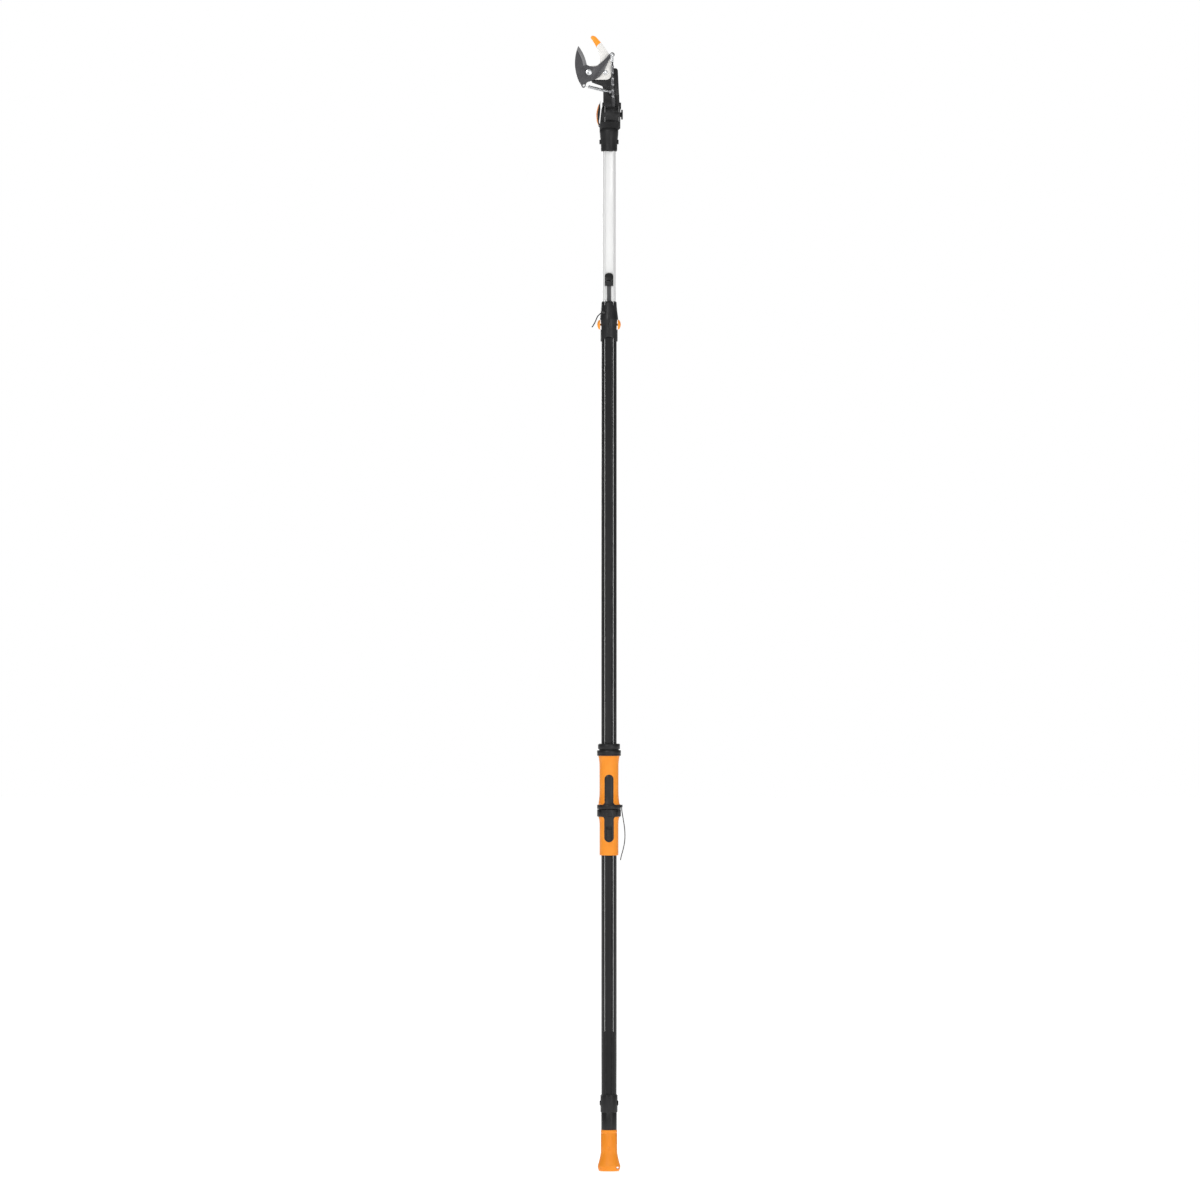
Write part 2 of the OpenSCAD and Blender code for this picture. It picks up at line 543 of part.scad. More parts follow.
module pulley_pin() color("#a5a7a9") translate([0, pulley_y, pulley_z]) rotate([0, 90, 0])
  cylinder(r = 1.6, h = 12.6, center = true);
module pulley_wheel() color("#e5e5e2") translate([0, pulley_y, pulley_z]) rotate([0, 90, 0]) difference() {
  cylinder(r = pulley_r, h = 9, center = true);
  cylinder(r = 1.6 + fit, h = 20, center = true);
}
module pull_strap() color("#3f3f41") span([-strap_w / 2, pulley_y - strap_t / 2, pulley_z + 22.1],
  [strap_w / 2, pulley_y + strap_t / 2, tilt_z - hub_r - 1.2]);

// ---- Adapter: a fork that carries the tilting head ----
module adapter_outline() polygon([
  [-17.4, adapter_low], [17.2, adapter_low], [18.4, adapter_low + 24], [18.6, adapter_low + 44], [24, adapter_low + 49],
  [24.2, tilt_z + 11], [25.6, tilt_z + 12.5], [25.6, tilt_z + hub_r + 0.2],
  [-14.3, tilt_z + hub_r + 0.2], [-16.3, tilt_z + 10], [-20, tilt_z - 26], [-20, adapter_low + 38]]);
module adapter_body() difference() {
  union() {
    // Barrel over the pole's end
    translate([0, 0, adapter_low]) turned(concat(
      [[0, 0], [barrel_r - 1.7, 0]], arc([barrel_r - 1.5, 0.1], [barrel_r - 0.4, 0.9], [barrel_r, 2.4], 4),
      [[barrel_r + 0.3, 14], [barrel_r + 1.3, 26], [barrel_r + 2.3, 36], [barrel_r + 2.6, 42]],
      arc([barrel_r + 2.4, 44.6], [barrel_r + 1.3, 47.4], [barrel_r - 1.3, 49.4], 5), [[0, 49.4]]));
    for (side = [-1, 1]) mirror([side > 0 ? 0 : 1, 0, 0]) translate([inner_r - 1.3, 0, adapter_low + 20])
      rotate([0, 90, 0]) cylinder(r = 4.8, h = 7.4);
    intersection() {
      plate(-20, 20) adapter_outline();
      union() {
        x_bar_round(hub_r + 0.2, -21, 26);
        span([-21, -9, adapter_low + 40], [26, 9, tilt_z]);
      }
    }
  }
  // Room for the hub between the ears, open upwards
  x_bar_round(hub_r + gap, hub_left - ear_gap, hub_right + ear_gap);
  span([hub_left - ear_gap, -big, tilt_z], [hub_right + ear_gap, big, tilt_z + 60]);
  x_bar_round(tilt_pin_r + eps, -30, 30);
  translate([0, 0, adapter_low - 1]) cylinder(r = inner_r + eps, h = inner_top - adapter_low + 1, $fn = 96);
  // Way for the strap, and for the chain's lower end
  span([-7, -7.7, inner_top - 1], [17.6, pulley_y + 2.4, tilt_z]);
  translate([0, 0, adapter_low + 20]) rotate([0, 90, 0]) cylinder(r = 1.8 + eps, h = 60, center = true);
  for (side = [-1, 1]) mirror([side > 0 ? 0 : 1, 0, 0]) translate([inner_r + 4.9, 0, adapter_low + 20])
    rotate([0, 90, 0]) cylinder(r = 3.2, h = 5);
  lever_room();
}
module x_bar_round(r, low, high) translate([low, 0, tilt_z]) rotate([0, 90, 0]) cylinder(r = r, h = high - low, $fn = 96);
module adapter_front() color("#343436") intersection() {
  adapter_body();
  translate([-big, -big, 0]) cube([2 * big, big, big * 20]);
}
module adapter_rear() color("#343436") intersection() {
  adapter_body();
  translate([-big, 0, 0]) cube([2 * big, big, big * 20]);
}
module adapter_screws() color("#7b7b7d") translate([0, 0, adapter_low + 20])
  for (side = [-1, 1]) mirror([side > 0 ? 0 : 1, 0, 0]) rotate([0, 90, 0]) difference() {
    union() {
      translate([0, 0, inner_r + 0.1]) cylinder(r = 1.8, h = 5);
      translate([0, 0, inner_r + 4.9]) cylinder(r = 3.1, h = 1);
    }
    for (a = [0, 90]) rotate([0, 0, a]) translate([-2, -0.35, inner_r + 5.5]) cube([4, 0.7, 2]);
  }
module tilt_pins() color("#2d2d2f") {
  x_bar_round(tilt_pin_r, -15.4, -0.6);
  x_bar_round(tilt_pin_r, hub_right - 2, 26);
  difference() {
    translate([25.7, 0, tilt_z]) rotate([0, 90, 0]) cylinder(r = 10.4, h = 3.6);
    translate([28.5, 0, tilt_z]) rotate([0, 90, 0]) cylinder(r = 7.4, h = 3);
  }
  translate([28.4, 0, tilt_z]) rotate([0, 90, 0]) cylinder(r = 6.6, h = 0.8, $fn = 6);
}

// ---- Tilt lever on the adapter's left side ----
lever_pin_x = -19.4;
lever_pin_z = tilt_z - 24;
module lever_room() {
  translate([lever_pin_x, 0, lever_pin_z]) rotate([90, 0, 0]) cylinder(r = 3.4, h = 10.6, center = true);
  span([-40, -5.3, lever_pin_z - 3.4], [lever_pin_x, 5.3, lever_pin_z + 8]);
  translate([lever_pin_x, 0, lever_pin_z]) rotate([90, 0, 0]) cylinder(r = 1.5 + eps, h = 15, center = true);
}
module lever_pin() color("#a5a7a9") y_bar_at([lever_pin_x, lever_pin_z], 1.5, 7.4);
module y_bar_at(p, r, half) translate([p[0], 0, p[1]]) rotate([90, 0, 0]) cylinder(r = r, h = 2 * half, center = true);
module tilt_lever() color("#262628") difference() {
  union() {
    plate(-7, 7) polygon([
      [-17, tilt_z + 30], [-18.6, tilt_z + 25], [-18.2, tilt_z + 12], [-19.8, tilt_z - 5], [-21.2, tilt_z - 14],
      [-20.6, tilt_z - 20], [-21.4, tilt_z - 26], [-22.4, tilt_z - 24], [-23.6, tilt_z - 16], [-24.6, tilt_z - 8],
      [-24.6, tilt_z + 2], [-22.8, tilt_z + 12], [-20.6, tilt_z + 22]]);
    plate(-5, 5) union() {
      translate([lever_pin_x, lever_pin_z]) circle(r = 3);
      polygon([[lever_pin_x, lever_pin_z - 3], [lever_pin_x, lever_pin_z + 3], [-21.6, tilt_z - 14], [-22, tilt_z - 23]]);
    }
  }
  y_bar_at([lever_pin_x, lever_pin_z], 1.5 + fit, 20);
}
module lever_cap() color("#e07b2c") plate(-7, 7) polygon(concat(
  [[-20.66, tilt_z + 22], [-22.86, tilt_z + 12], [-24.66, tilt_z + 2], [-24.66, tilt_z - 8], [-23.66, tilt_z - 16],
    [-22.6, tilt_z - 23.4]],
  arc([-23.4, tilt_z - 22], [-27, tilt_z - 3], [-22, tilt_z + 21], 16)));

// ---- Head: hub, housing, hook and their bolts ----
channel_left = 46.8;
channel_right = 61.6;
base_z = rim_low - pivot_z;
function housing_outline() = concat(
  [[30.3, base_z + 4], [30.3, -42.6]], arc([29.9, -34], [28.6, -30.4], [25.7, -28.2], 4), [[12.1, -23.5]],
  arc([0, -15], [-11, -3], [0, 11.2], 14), [[38, 11.2]],
  arc([42, 10.6], [45.4, 9.4], [47.1, 9], 3), [[54, 9]], arc([56.8, 8.9], [60, 7], [61.5, 3], 5), [[64.9, base_z + 4]]);
module rounded_plate(x_low, x_high, half, z_low, z_high, r) hull() for (x = [x_low + r, x_high - r])
  for (y = [-half + r, half - r]) translate([x, y, z_low]) cylinder(r = r, h = z_high - z_low, $fn = 32);
module chain_way() union() {
  // Straight way down through the rim and the hub, and the open channel above it
  span([1.2, -8.4, tilt_z - 20], [18.8, -0.6, rim_low + 20]);
  head_plate(-30, -1.5) polygon([[channel_left, base_z + 30], [channel_left, base_z - 2], [channel_right, base_z - 2],
    [channel_right, base_z + 16], [channel_right + 1, base_z + 30]]);
}
module head_housing() color("#262628") difference() {
  union() {
    // Back plate, which carries both bolts
    head_plate(hook_back + 0.1, 7) polygon(housing_outline());
    // Thicker part under the hook's lower edge, behind the chain
    head_plate(-1.5, hook_back + 0.2) polygon(concat(
      [[30.3, base_z + 4], [30.3, -42.6]], arc([29.9, -34], [28.6, -30.4], [25.7, -28.2], 4), [[6, -21.4]],
      [[10, -16.4], [36.6, -16.2]], arc([40, -15.6], [46, -11], [47.5, -6.6], 6),
      [[47.5, 9], [54, 9]], arc([56.8, 8.9], [60, 7], [61.5, 3], 5), [[64.9, base_z + 4]]));
    // Front walls beside the lower end of the chain
    head_plate(-9, -1.4) polygon([[30.3, base_z + 4], [30.3, -48], [45.4, -50], [channel_left, -53], [channel_left, base_z + 4]]);
    head_plate(-9, -1.4) polygon([[channel_right, base_z + 4], [channel_right, -50], [62.8, -46], [64.1, -46],
      [64.9, base_z + 4]]);
    // Spine behind the chain
    head_plate(6.9, 11) polygon([[45, base_z + 4], [45, -6], [48, 2], [57, 2], [60.4, -6], [63.4, base_z + 4]]);
    head_plate(6.9, 11) polygon([[32, base_z + 4], [32, -44], [35.6, -40], [35.6, base_z + 4]]);
    // Round boss on the arm
    translate([pivot_x + 37.1, 0, pivot_z - 28.8]) rotate([90, 0, 0]) cylinder(r = 5, h = 2.7);
    for (p = [[0, 0], hook_bolt_at]) at_head(p) y_bar(8, 6.9, 8.6);
    // Flange and rim over the hub
    rounded_plate(-11.7, 22.3, 12.5, rim_low + 6.9, rim_low + 10, 4);
    rounded_plate(-14.4, 25.6, 15.5, rim_low, rim_low + 7, 5);
    // Hub with fine ribs over its upper half, and its neck under the rim
    x_bar_round(hub_r, hub_left, hub_right);
    intersection() {
      for (x = [-4.2:2.3:19]) x_bar_round(hub_r + 0.22, x, x + 0.8);
      span([-30, -big, tilt_z + 5], [30, big, tilt_z + 60]);
    }
    span([hub_left, -hub_neck, tilt_z], [hub_right, hub_neck, rim_low + 1]);
  }
  chain_way();
  x_bar_round(tilt_pin_r + fit, -30, 30);
  for (p = [[0, 0], hook_bolt_at]) at_head(p) y_bar((p == [0, 0] ? pivot_r : 3) + eps, -30, 30);
  at_head(spring_at) y_bar(1.8 + eps, -30, 8.5);
}
function hook_edge() = concat(
  arc([47.1, 21], [47.3, 27], [46.9, 32.6], 4), arc([43.2, 38.2], [27.1, 61.1], [14.2, 75.9], 10));
module hook_outline() polygon(concat(
  arc([4, 71.9], [4.9, 76.4], [8.7, 78], 6),
  [for (i = [len(hook_edge()) - 1:-1:0]) hook_edge()[i]],
  arc([47.1, -6.6], [44, -12.6], [36.5, -15.5], 6), [[13.6, -15.7]],
  arc([6, -12.6], [-13.6, -2], [2, 13.4], 14),
  arc([12, 14.4], [21.6, 18.4], [23.7, 26], 6), arc([22.9, 35.4], [15.6, 54], [4, 71.9], 10)));
module hook_tip_zone(shift = 0) polygon([[-20, 60 + shift], [14, 50 + shift], [18.2, 57.7 + shift], [22.9, 61.7 + shift],
  [25.4, 63.2 + shift], [50, 70 + shift], [20, 110], [-20, 110]]);
module tip_tang() polygon([[10, 50], [21, 50], [16.5, 64], [10.8, 72], [8.4, 71.4], [10.4, 64]]);
module hook() color("#f3f1ed") difference() {
  union() {
    head_plate(hook_front, hook_back) difference() {
      hook_outline();
      hook_tip_zone();
    }
    head_plate(hook_front + 0.8, hook_back - 0.8) intersection() {
      hook_outline();
      tip_tang();
    }
  }
  at_head([0, 0]) y_bar(pivot_r + eps, -30, 30);
  at_head(hook_bolt_at) y_bar(3 + eps, -30, 30);
  at_head(hook_bolt_at) y_bar(6.2, -30, hook_front + 1.2);
}
module hook_tip() color("#ff9a1a") difference() {
  head_plate(hook_front - 0.1, hook_back + 0.5) intersection() {
    hook_outline();
    hook_tip_zone(fit);
  }
  head_plate(hook_front + 0.8 - fit, hook_back - 0.8 + fit) offset(delta = fit) tip_tang();
}
module head_bolts() color("#d9dadb") {
  at_head([0, 0]) {
    y_bar(pivot_r, blade_front - 0.1, 11.6);
    difference() {
      y_bar(6.1, blade_front - 2.7, blade_front - 0.1);
      y_bar(2.2, blade_front - 3, blade_front - 1.4);
    }
  }
  at_head(hook_bolt_at) {
    y_bar(3, hook_front + 0.5, 11.6);
    difference() {
      y_bar(4.7, hook_front + 0.05, hook_front + 1.15);
      y_bar(0.9, hook_front - 1, hook_front + 0.8);
    }
  }
}
module head_nuts() color("#8b8c8f") for (p = [[0, 0], hook_bolt_at]) at_head(p) difference() {
  translate([0, 12.2, 0]) rotate([90, 0, 0]) cylinder(r = p == [0, 0] ? 7 : 5.6, h = 3.5, $fn = 6);
  y_bar((p == [0, 0] ? pivot_r : 3) + eps, -30, 30);
}
module spring_anchor() color("#303032") at_head(spring_at) {
  y_bar(1.8, spring_y - 1.2, 7);
  difference() {
    y_bar(3.2, spring_y - 2.2, spring_y - 1.1);
    y_bar(1.2, spring_y - 3, spring_y - 1.7);
  }
}
module head_strap() color("#3f3f41") span([4.6, chain_y - strap_t / 2, tilt_z - 4], [13, chain_y + strap_t / 2,
  chain_bottom[1] - 2.2]);

// ---- Blade, chain and return spring ----
chain_foot = [9.5 - pivot_x, tilt_z + 1 - pivot_z];
chain_way_dir = (chain_foot - lever_end) / norm(chain_foot - lever_end);
function chain_joint(i) = lever_end + chain_way_dir * chain_pitch * i;
chain_bottom = pivot_point(chain_joint(chain_links));
cut_tip = [-22.3, 55.8];
cut_mid = [-12.1, 39.4];
cut_heel = [-4.6, 16.5];
cut_centre = arc_centre(cut_tip, cut_mid, cut_heel);
cut_r = norm(cut_tip - cut_centre);
module blade_outline() polygon(concat(
  arc(cut_tip, cut_mid, cut_heel, 14), arc([-1.3, 14.4], [8, 12.1], [18.2, 14.4], 8), [[31.2, 25.2], [39.9, 34.8]],
  arc([45.2, 40], [53.4, 40.4], [52.6, 33.4], 14), arc([45.4, 31.4], [38.9, 18.5], [32.4, 4.2], 8),
  [[25.7, -5.1]], arc([23.7, -8.5], [14, -14.4], [2.8, -19.3], 8), arc([-0.6, -20], [-4.9, -22.6], [-6.6, -26.6], 5),
  arc([-7.6, -30.2], [-11.6, -33], [-15.6, -29.4], 8), arc([-20.4, -21.4], [-29.7, 18], [-22.9, 55], 18)));
module blade() color("#4a494e") difference() {
  head_plate(blade_front, blade_back) blade_outline();
  at_head([0, 0]) y_bar(pivot_r + fit, -30, 30);
  at_head(lever_end) y_bar(1.7 + fit, -30, 30);
  at_head(tail_hole) y_bar(2.2, -30, 30);
  // The lever's end is thinned on its back, to go inside the chain
  at_head(lever_end) y_bar(9.4, chain_y + 1.45, 30);
  // Ground bevel along the cutting edge
  at_head(cut_centre) rotate([90, 0, 0]) rotate([0, 0, 9.5]) rotate_extrude(angle = 32, $fn = 180)
    polygon([[cut_r - bevel_w, -blade_front + 0.01], [cut_r + 3, -blade_front + 0.01], [cut_r + 3, -blade_back - 1],
      [cut_r, -blade_back + 0.35]]);
}
module chain_pin() color("#d9dadb") at_head(lever_end) {
  y_bar(1.7, chain_y - 1.5, chain_y + 1.5);
}
module link(a, b, waist) {
  along = (b - a) / norm(b - a);
  side = [-along[1], along[0]];
  for (p = [a, b]) translate(p) circle(r = 3.1);
  middle = (a + b) / 2;
  polygon([a + 2.9 * side, middle + waist * side, b + 2.9 * side, b - 2.9 * side, middle - waist * side, a - 2.9 * side]);
}
module link_pair(i, inner, thick, waist) for (side = [-1, 1])
  translate([0, side * (inner + thick / 2), 0]) head_plate(chain_y - thick / 2, chain_y + thick / 2) difference() {
    link(chain_joint(i), chain_joint(i + 1), waist);
    for (j = [i, i + 1]) translate(chain_joint(j)) circle(r = 1.3 + (inner < 1 ? fit : eps));
  }
module chain_outer_plates() color("#b9bbbe") for (i = [0:2:chain_links - 1]) link_pair(i, 1.65, 0.85, 2.5);
module chain_inner_plates() color("#2a2a2c") for (i = [1:2:chain_links - 1]) link_pair(i, 0.6, 0.9, 1.5);
module chain_rivets() color("#d9dadb") {
  for (i = [0:chain_links]) at_head(chain_joint(i)) {
    if (i > 0) y_bar(1.3, chain_y - 2.6, chain_y + 2.6);
    else for (side = [-1, 1]) translate([0, chain_y + side * 2.1, 0]) y_bar(1.3, -0.5, 0.5);
  }
  // Loop that the strap is sewn to, round the last rivet
  at_head(chain_joint(chain_links)) difference() {
    y_bar(2.1, chain_y - 0.55, chain_y + 0.55);
    y_bar(1.3 + eps, -30, 30);
  }
}
spring_dir = (tail_hole - spring_at) / norm(tail_hole - spring_at);
spring_angle = atan2(spring_dir[1], spring_dir[0]);
spring_len = norm(tail_hole - spring_at);
module along_spring(from) at_head(spring_at) translate([0, spring_y, 0]) rotate([0, -spring_angle, 0])
  translate([from, 0, 0]) children();
module return_spring() color("#b4b6b9") {
  along_spring(4.4) rotate([0, 90, 0]) tube(coil(2.9, 1.36, 32, 12), wire_r, 5);
  // Eye round the anchor
  along_spring(0) rotate([90, 0, 0]) rotate_extrude($fn = 32) translate([2.5, 0]) circle(r = wire_r, $fn = 16);
}
module spring_hook() color("#b4b6b9") translate([-0.45, 0, -0.8]) along_spring(spring_len) {
  front = blade_front - spring_y - 1.3;
  // Wire from the coil's front, bent back through the hole in the blade's tail
  tube(concat([[-8.4, -2.9, 0], [-6.8, -2.9, 0], [-5.6, (front - 2.9) / 2, 0], [-4.4, front, 0], [-0.7, front, 0]],
    [for (a = [30:30:90]) [-0.7 + 0.7 * sin(a), front + 0.7 * (1 - cos(a)), 0]],
    [[0, blade_back - spring_y + 1, 0]]), wire_r, 8);
}

outer_pole();
pole_collar();
collar_pads();
collar_springs();
collar_tie();
collar_tie_tail();
end_collar();
end_collar_screws();
inner_pole();
pole_foot();
strap_guide();
guide_pin();
guide_roller();
strap();
loop_strap();
pulley_block();
pulley_pin();
pulley_wheel();
pull_strap();
button_left();
button_right();
adapter_front();
adapter_rear();
adapter_screws();
tilt_pins();
lever_pin();
tilt_lever();
lever_cap();
head_housing();
hook();
hook_tip();
head_bolts();
head_nuts();
spring_anchor();
head_strap();
blade();
chain_pin();
chain_outer_plates();
chain_inner_plates();
chain_rivets();
return_spring();
spring_hook();
slider_core();
grip_upper();
grip_lower();
top_rings();
centre_flange();
inlay_upper();
inlay_lower();
strap_clamp();
handle_tie();
handle_tie_tail();
lock_ring();
thumb_button();
knob();
neck_tube();
guide_rod();
rod_plug();
knob_screw();
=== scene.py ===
import math

import bpy
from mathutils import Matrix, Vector


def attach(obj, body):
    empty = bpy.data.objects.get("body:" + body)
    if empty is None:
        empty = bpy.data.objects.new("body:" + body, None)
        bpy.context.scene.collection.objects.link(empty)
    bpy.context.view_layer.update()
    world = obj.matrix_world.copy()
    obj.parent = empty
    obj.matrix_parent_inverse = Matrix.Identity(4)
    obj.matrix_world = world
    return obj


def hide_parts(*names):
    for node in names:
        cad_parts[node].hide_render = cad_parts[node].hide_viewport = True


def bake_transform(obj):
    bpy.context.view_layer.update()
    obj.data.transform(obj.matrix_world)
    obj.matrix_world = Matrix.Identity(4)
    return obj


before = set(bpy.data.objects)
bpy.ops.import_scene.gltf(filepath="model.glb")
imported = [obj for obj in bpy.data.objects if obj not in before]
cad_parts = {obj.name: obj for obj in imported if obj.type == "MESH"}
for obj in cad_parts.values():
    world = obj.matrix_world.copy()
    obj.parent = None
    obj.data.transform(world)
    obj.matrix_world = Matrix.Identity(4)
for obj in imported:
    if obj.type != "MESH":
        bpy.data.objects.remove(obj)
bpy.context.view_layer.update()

# ---------------------------------------------------------------------------
# Studio: a long lens square to the pole, a pale floor, a white sweep of light
# all round and three large soft boxes. None of it belongs to the pruner.
# ---------------------------------------------------------------------------
mid_height = 1.2101
bpy.ops.object.select_all(action="DESELECT")
bpy.ops.object.camera_add(location=(-0.0191, -21.2, mid_height), rotation=(math.pi / 2, 0, 0))
camera = bpy.context.object
camera.data.lens = 300
camera.data.sensor_width = 36
camera.data.clip_start = 0.5
camera.data.clip_end = 300
bpy.context.scene.camera = camera
bpy.context.scene.view_settings.view_transform = "Standard"

world = bpy.data.worlds.new("studio_air")
bpy.context.scene.world = world
world.use_nodes = True
air = world.node_tree
background = air.nodes["Background"]
background.inputs["Color"].default_value = (1, 1, 1, 1)
seen = air.nodes.new("ShaderNodeLightPath")
heading = air.nodes.new("ShaderNodeTexCoord")
across = air.nodes.new("ShaderNodeSeparateXYZ")
air.links.new(heading.outputs["Generated"], across.inputs["Vector"])
away = air.nodes.new("ShaderNodeMath")
away.operation = "ABSOLUTE"
air.links.new(across.outputs["X"], away.inputs[0])
flags = air.nodes.new("ShaderNodeMapRange")
for limit, value in (("From Min", 0.35), ("From Max", 0.95), ("To Min", 0.62), ("To Max", 0.16)):
    flags.inputs[limit].default_value = value
air.links.new(away.outputs["Value"], flags.inputs["Value"])
air_light = air.nodes.new("ShaderNodeMapRange")
air_light.inputs["To Max"].default_value = 1.0
air.links.new(seen.outputs["Is Camera Ray"], air_light.inputs["Value"])
air.links.new(flags.outputs["Result"], air_light.inputs["To Min"])
air.links.new(air_light.outputs["Result"], background.inputs["Strength"])

bpy.ops.mesh.primitive_plane_add(size=80, location=(0, 0, -0.0008))
floor = bpy.context.object
floor.name = "studio_floor"
floor_paper = bpy.data.materials.new("pale_paper")
floor_paper.use_nodes = True
paper = floor_paper.node_tree.nodes["Principled BSDF"]
paper.inputs["Base Color"].default_value = (0.9, 0.9, 0.9, 1)
paper.inputs["Roughness"].default_value = 0.95
paper.inputs["Specular IOR Level"].default_value = 0.0
paper.inputs["Emission Color"].default_value = (1, 1, 1, 1)
paper.inputs["Emission Strength"].default_value = 0.57
floor.data.materials.append(floor_paper)


def soft_box(name, place, aim, size, power):
    bpy.ops.object.light_add(type="AREA", location=place)
    light = bpy.context.object
    light.name = name
    light.data.size = size
    light.data.energy = power
    light.rotation_euler = (Vector(aim) - Vector(place)).to_track_quat("-Z", "Y").to_euler()


soft_box("key_box", (-1.9, -4.6, 3.2), (0, 0, 1.3), 1.8, 62)
soft_box("fill_box", (2.4, -4.2, 1.0), (0, 0, 1.2), 2.2, 34)
soft_box("back_box", (-1.4, 4.2, 2.6), (0, 0, 1.4), 2.0, 60)

# ---------------------------------------------------------------------------
# Cable ties: black nylon, pulled tight, one in the lock collar and one in the
# guard ring. Only the loose tail of each stands free, stiff as moulded.
# ---------------------------------------------------------------------------


def grain_group():
    """Fine moulded grain as a height, and slow handling marks as a mask."""
    group = bpy.data.node_groups.new("moulded_grain", "ShaderNodeTree")
    group.interface.new_socket("Vector", in_out="INPUT", socket_type="NodeSocketVector")
    for socket in ("Grain", "Marks"):
        group.interface.new_socket(socket, in_out="INPUT", socket_type="NodeSocketFloat")
    for socket in ("Height", "Mask"):
        group.interface.new_socket(socket, in_out="OUTPUT", socket_type="NodeSocketFloat")
    inlet = group.nodes.new("NodeGroupInput")
    outlet = group.nodes.new("NodeGroupOutput")
    pits = group.nodes.new("ShaderNodeTexNoise")
    pits.inputs["Detail"].default_value = 3
    group.links.new(inlet.outputs["Vector"], pits.inputs["Vector"])
    group.links.new(inlet.outputs["Grain"], pits.inputs["Scale"])
    group.links.new(pits.outputs["Fac"], outlet.inputs["Height"])
    marks = group.nodes.new("ShaderNodeTexNoise")
    marks.inputs["Detail"].default_value = 6
    marks.inputs["Roughness"].default_value = 0.62
    group.links.new(inlet.outputs["Vector"], marks.inputs["Vector"])
    group.links.new(inlet.outputs["Marks"], marks.inputs["Scale"])
    limits = group.nodes.new("ShaderNodeMapRange")
    limits.inputs["From Min"].default_value = 0.4
    limits.inputs["From Max"].default_value = 0.68
    group.links.new(marks.outputs["Fac"], limits.inputs["Value"])
    group.links.new(limits.outputs["Result"], outlet.inputs["Mask"])
    return group


def worn_edge_group():
    """Mask of rubbed edges: where a rounded normal leaves the true one, broken up by noise."""
    group = bpy.data.node_groups.new("worn_edge", "ShaderNodeTree")
    group.interface.new_socket("Vector", in_out="INPUT", socket_type="NodeSocketVector")
    group.interface.new_socket("Break", in_out="INPUT", socket_type="NodeSocketFloat")
    group.interface.new_socket("Mask", in_out="OUTPUT", socket_type="NodeSocketFloat")
    inlet = group.nodes.new("NodeGroupInput")
    outlet = group.nodes.new("NodeGroupOutput")
    rounded = group.nodes.new("ShaderNodeBevel")
    rounded.samples = 4
    rounded.inputs["Radius"].default_value = 0.0006
    true = group.nodes.new("ShaderNodeNewGeometry")
    meet = group.nodes.new("ShaderNodeVectorMath")
    meet.operation = "DOT_PRODUCT"
    group.links.new(rounded.outputs["Normal"], meet.inputs[0])
    group.links.new(true.outputs["Normal"], meet.inputs[1])
    edge = group.nodes.new("ShaderNodeMapRange")
    edge.inputs["From Min"].default_value = 0.985
    edge.inputs["From Max"].default_value = 0.86
    group.links.new(meet.outputs["Value"], edge.inputs["Value"])
    patches = group.nodes.new("ShaderNodeTexNoise")
    patches.inputs["Detail"].default_value = 5
    group.links.new(inlet.outputs["Vector"], patches.inputs["Vector"])
    group.links.new(inlet.outputs["Break"], patches.inputs["Scale"])
    broken = group.nodes.new("ShaderNodeMapRange")
    broken.inputs["From Min"].default_value = 0.4
    broken.inputs["From Max"].default_value = 0.62
    group.links.new(patches.outputs["Fac"], broken.inputs["Value"])
    both = group.nodes.new("ShaderNodeMath")
    both.operation = "MULTIPLY"
    group.links.new(edge.outputs["Result"], both.inputs[0])
    group.links.new(broken.outputs["Result"], both.inputs[1])
    group.links.new(both.outputs["Value"], outlet.inputs["Mask"])
    return group


moulded_grain = grain_group()
worn_edge = worn_edge_group()


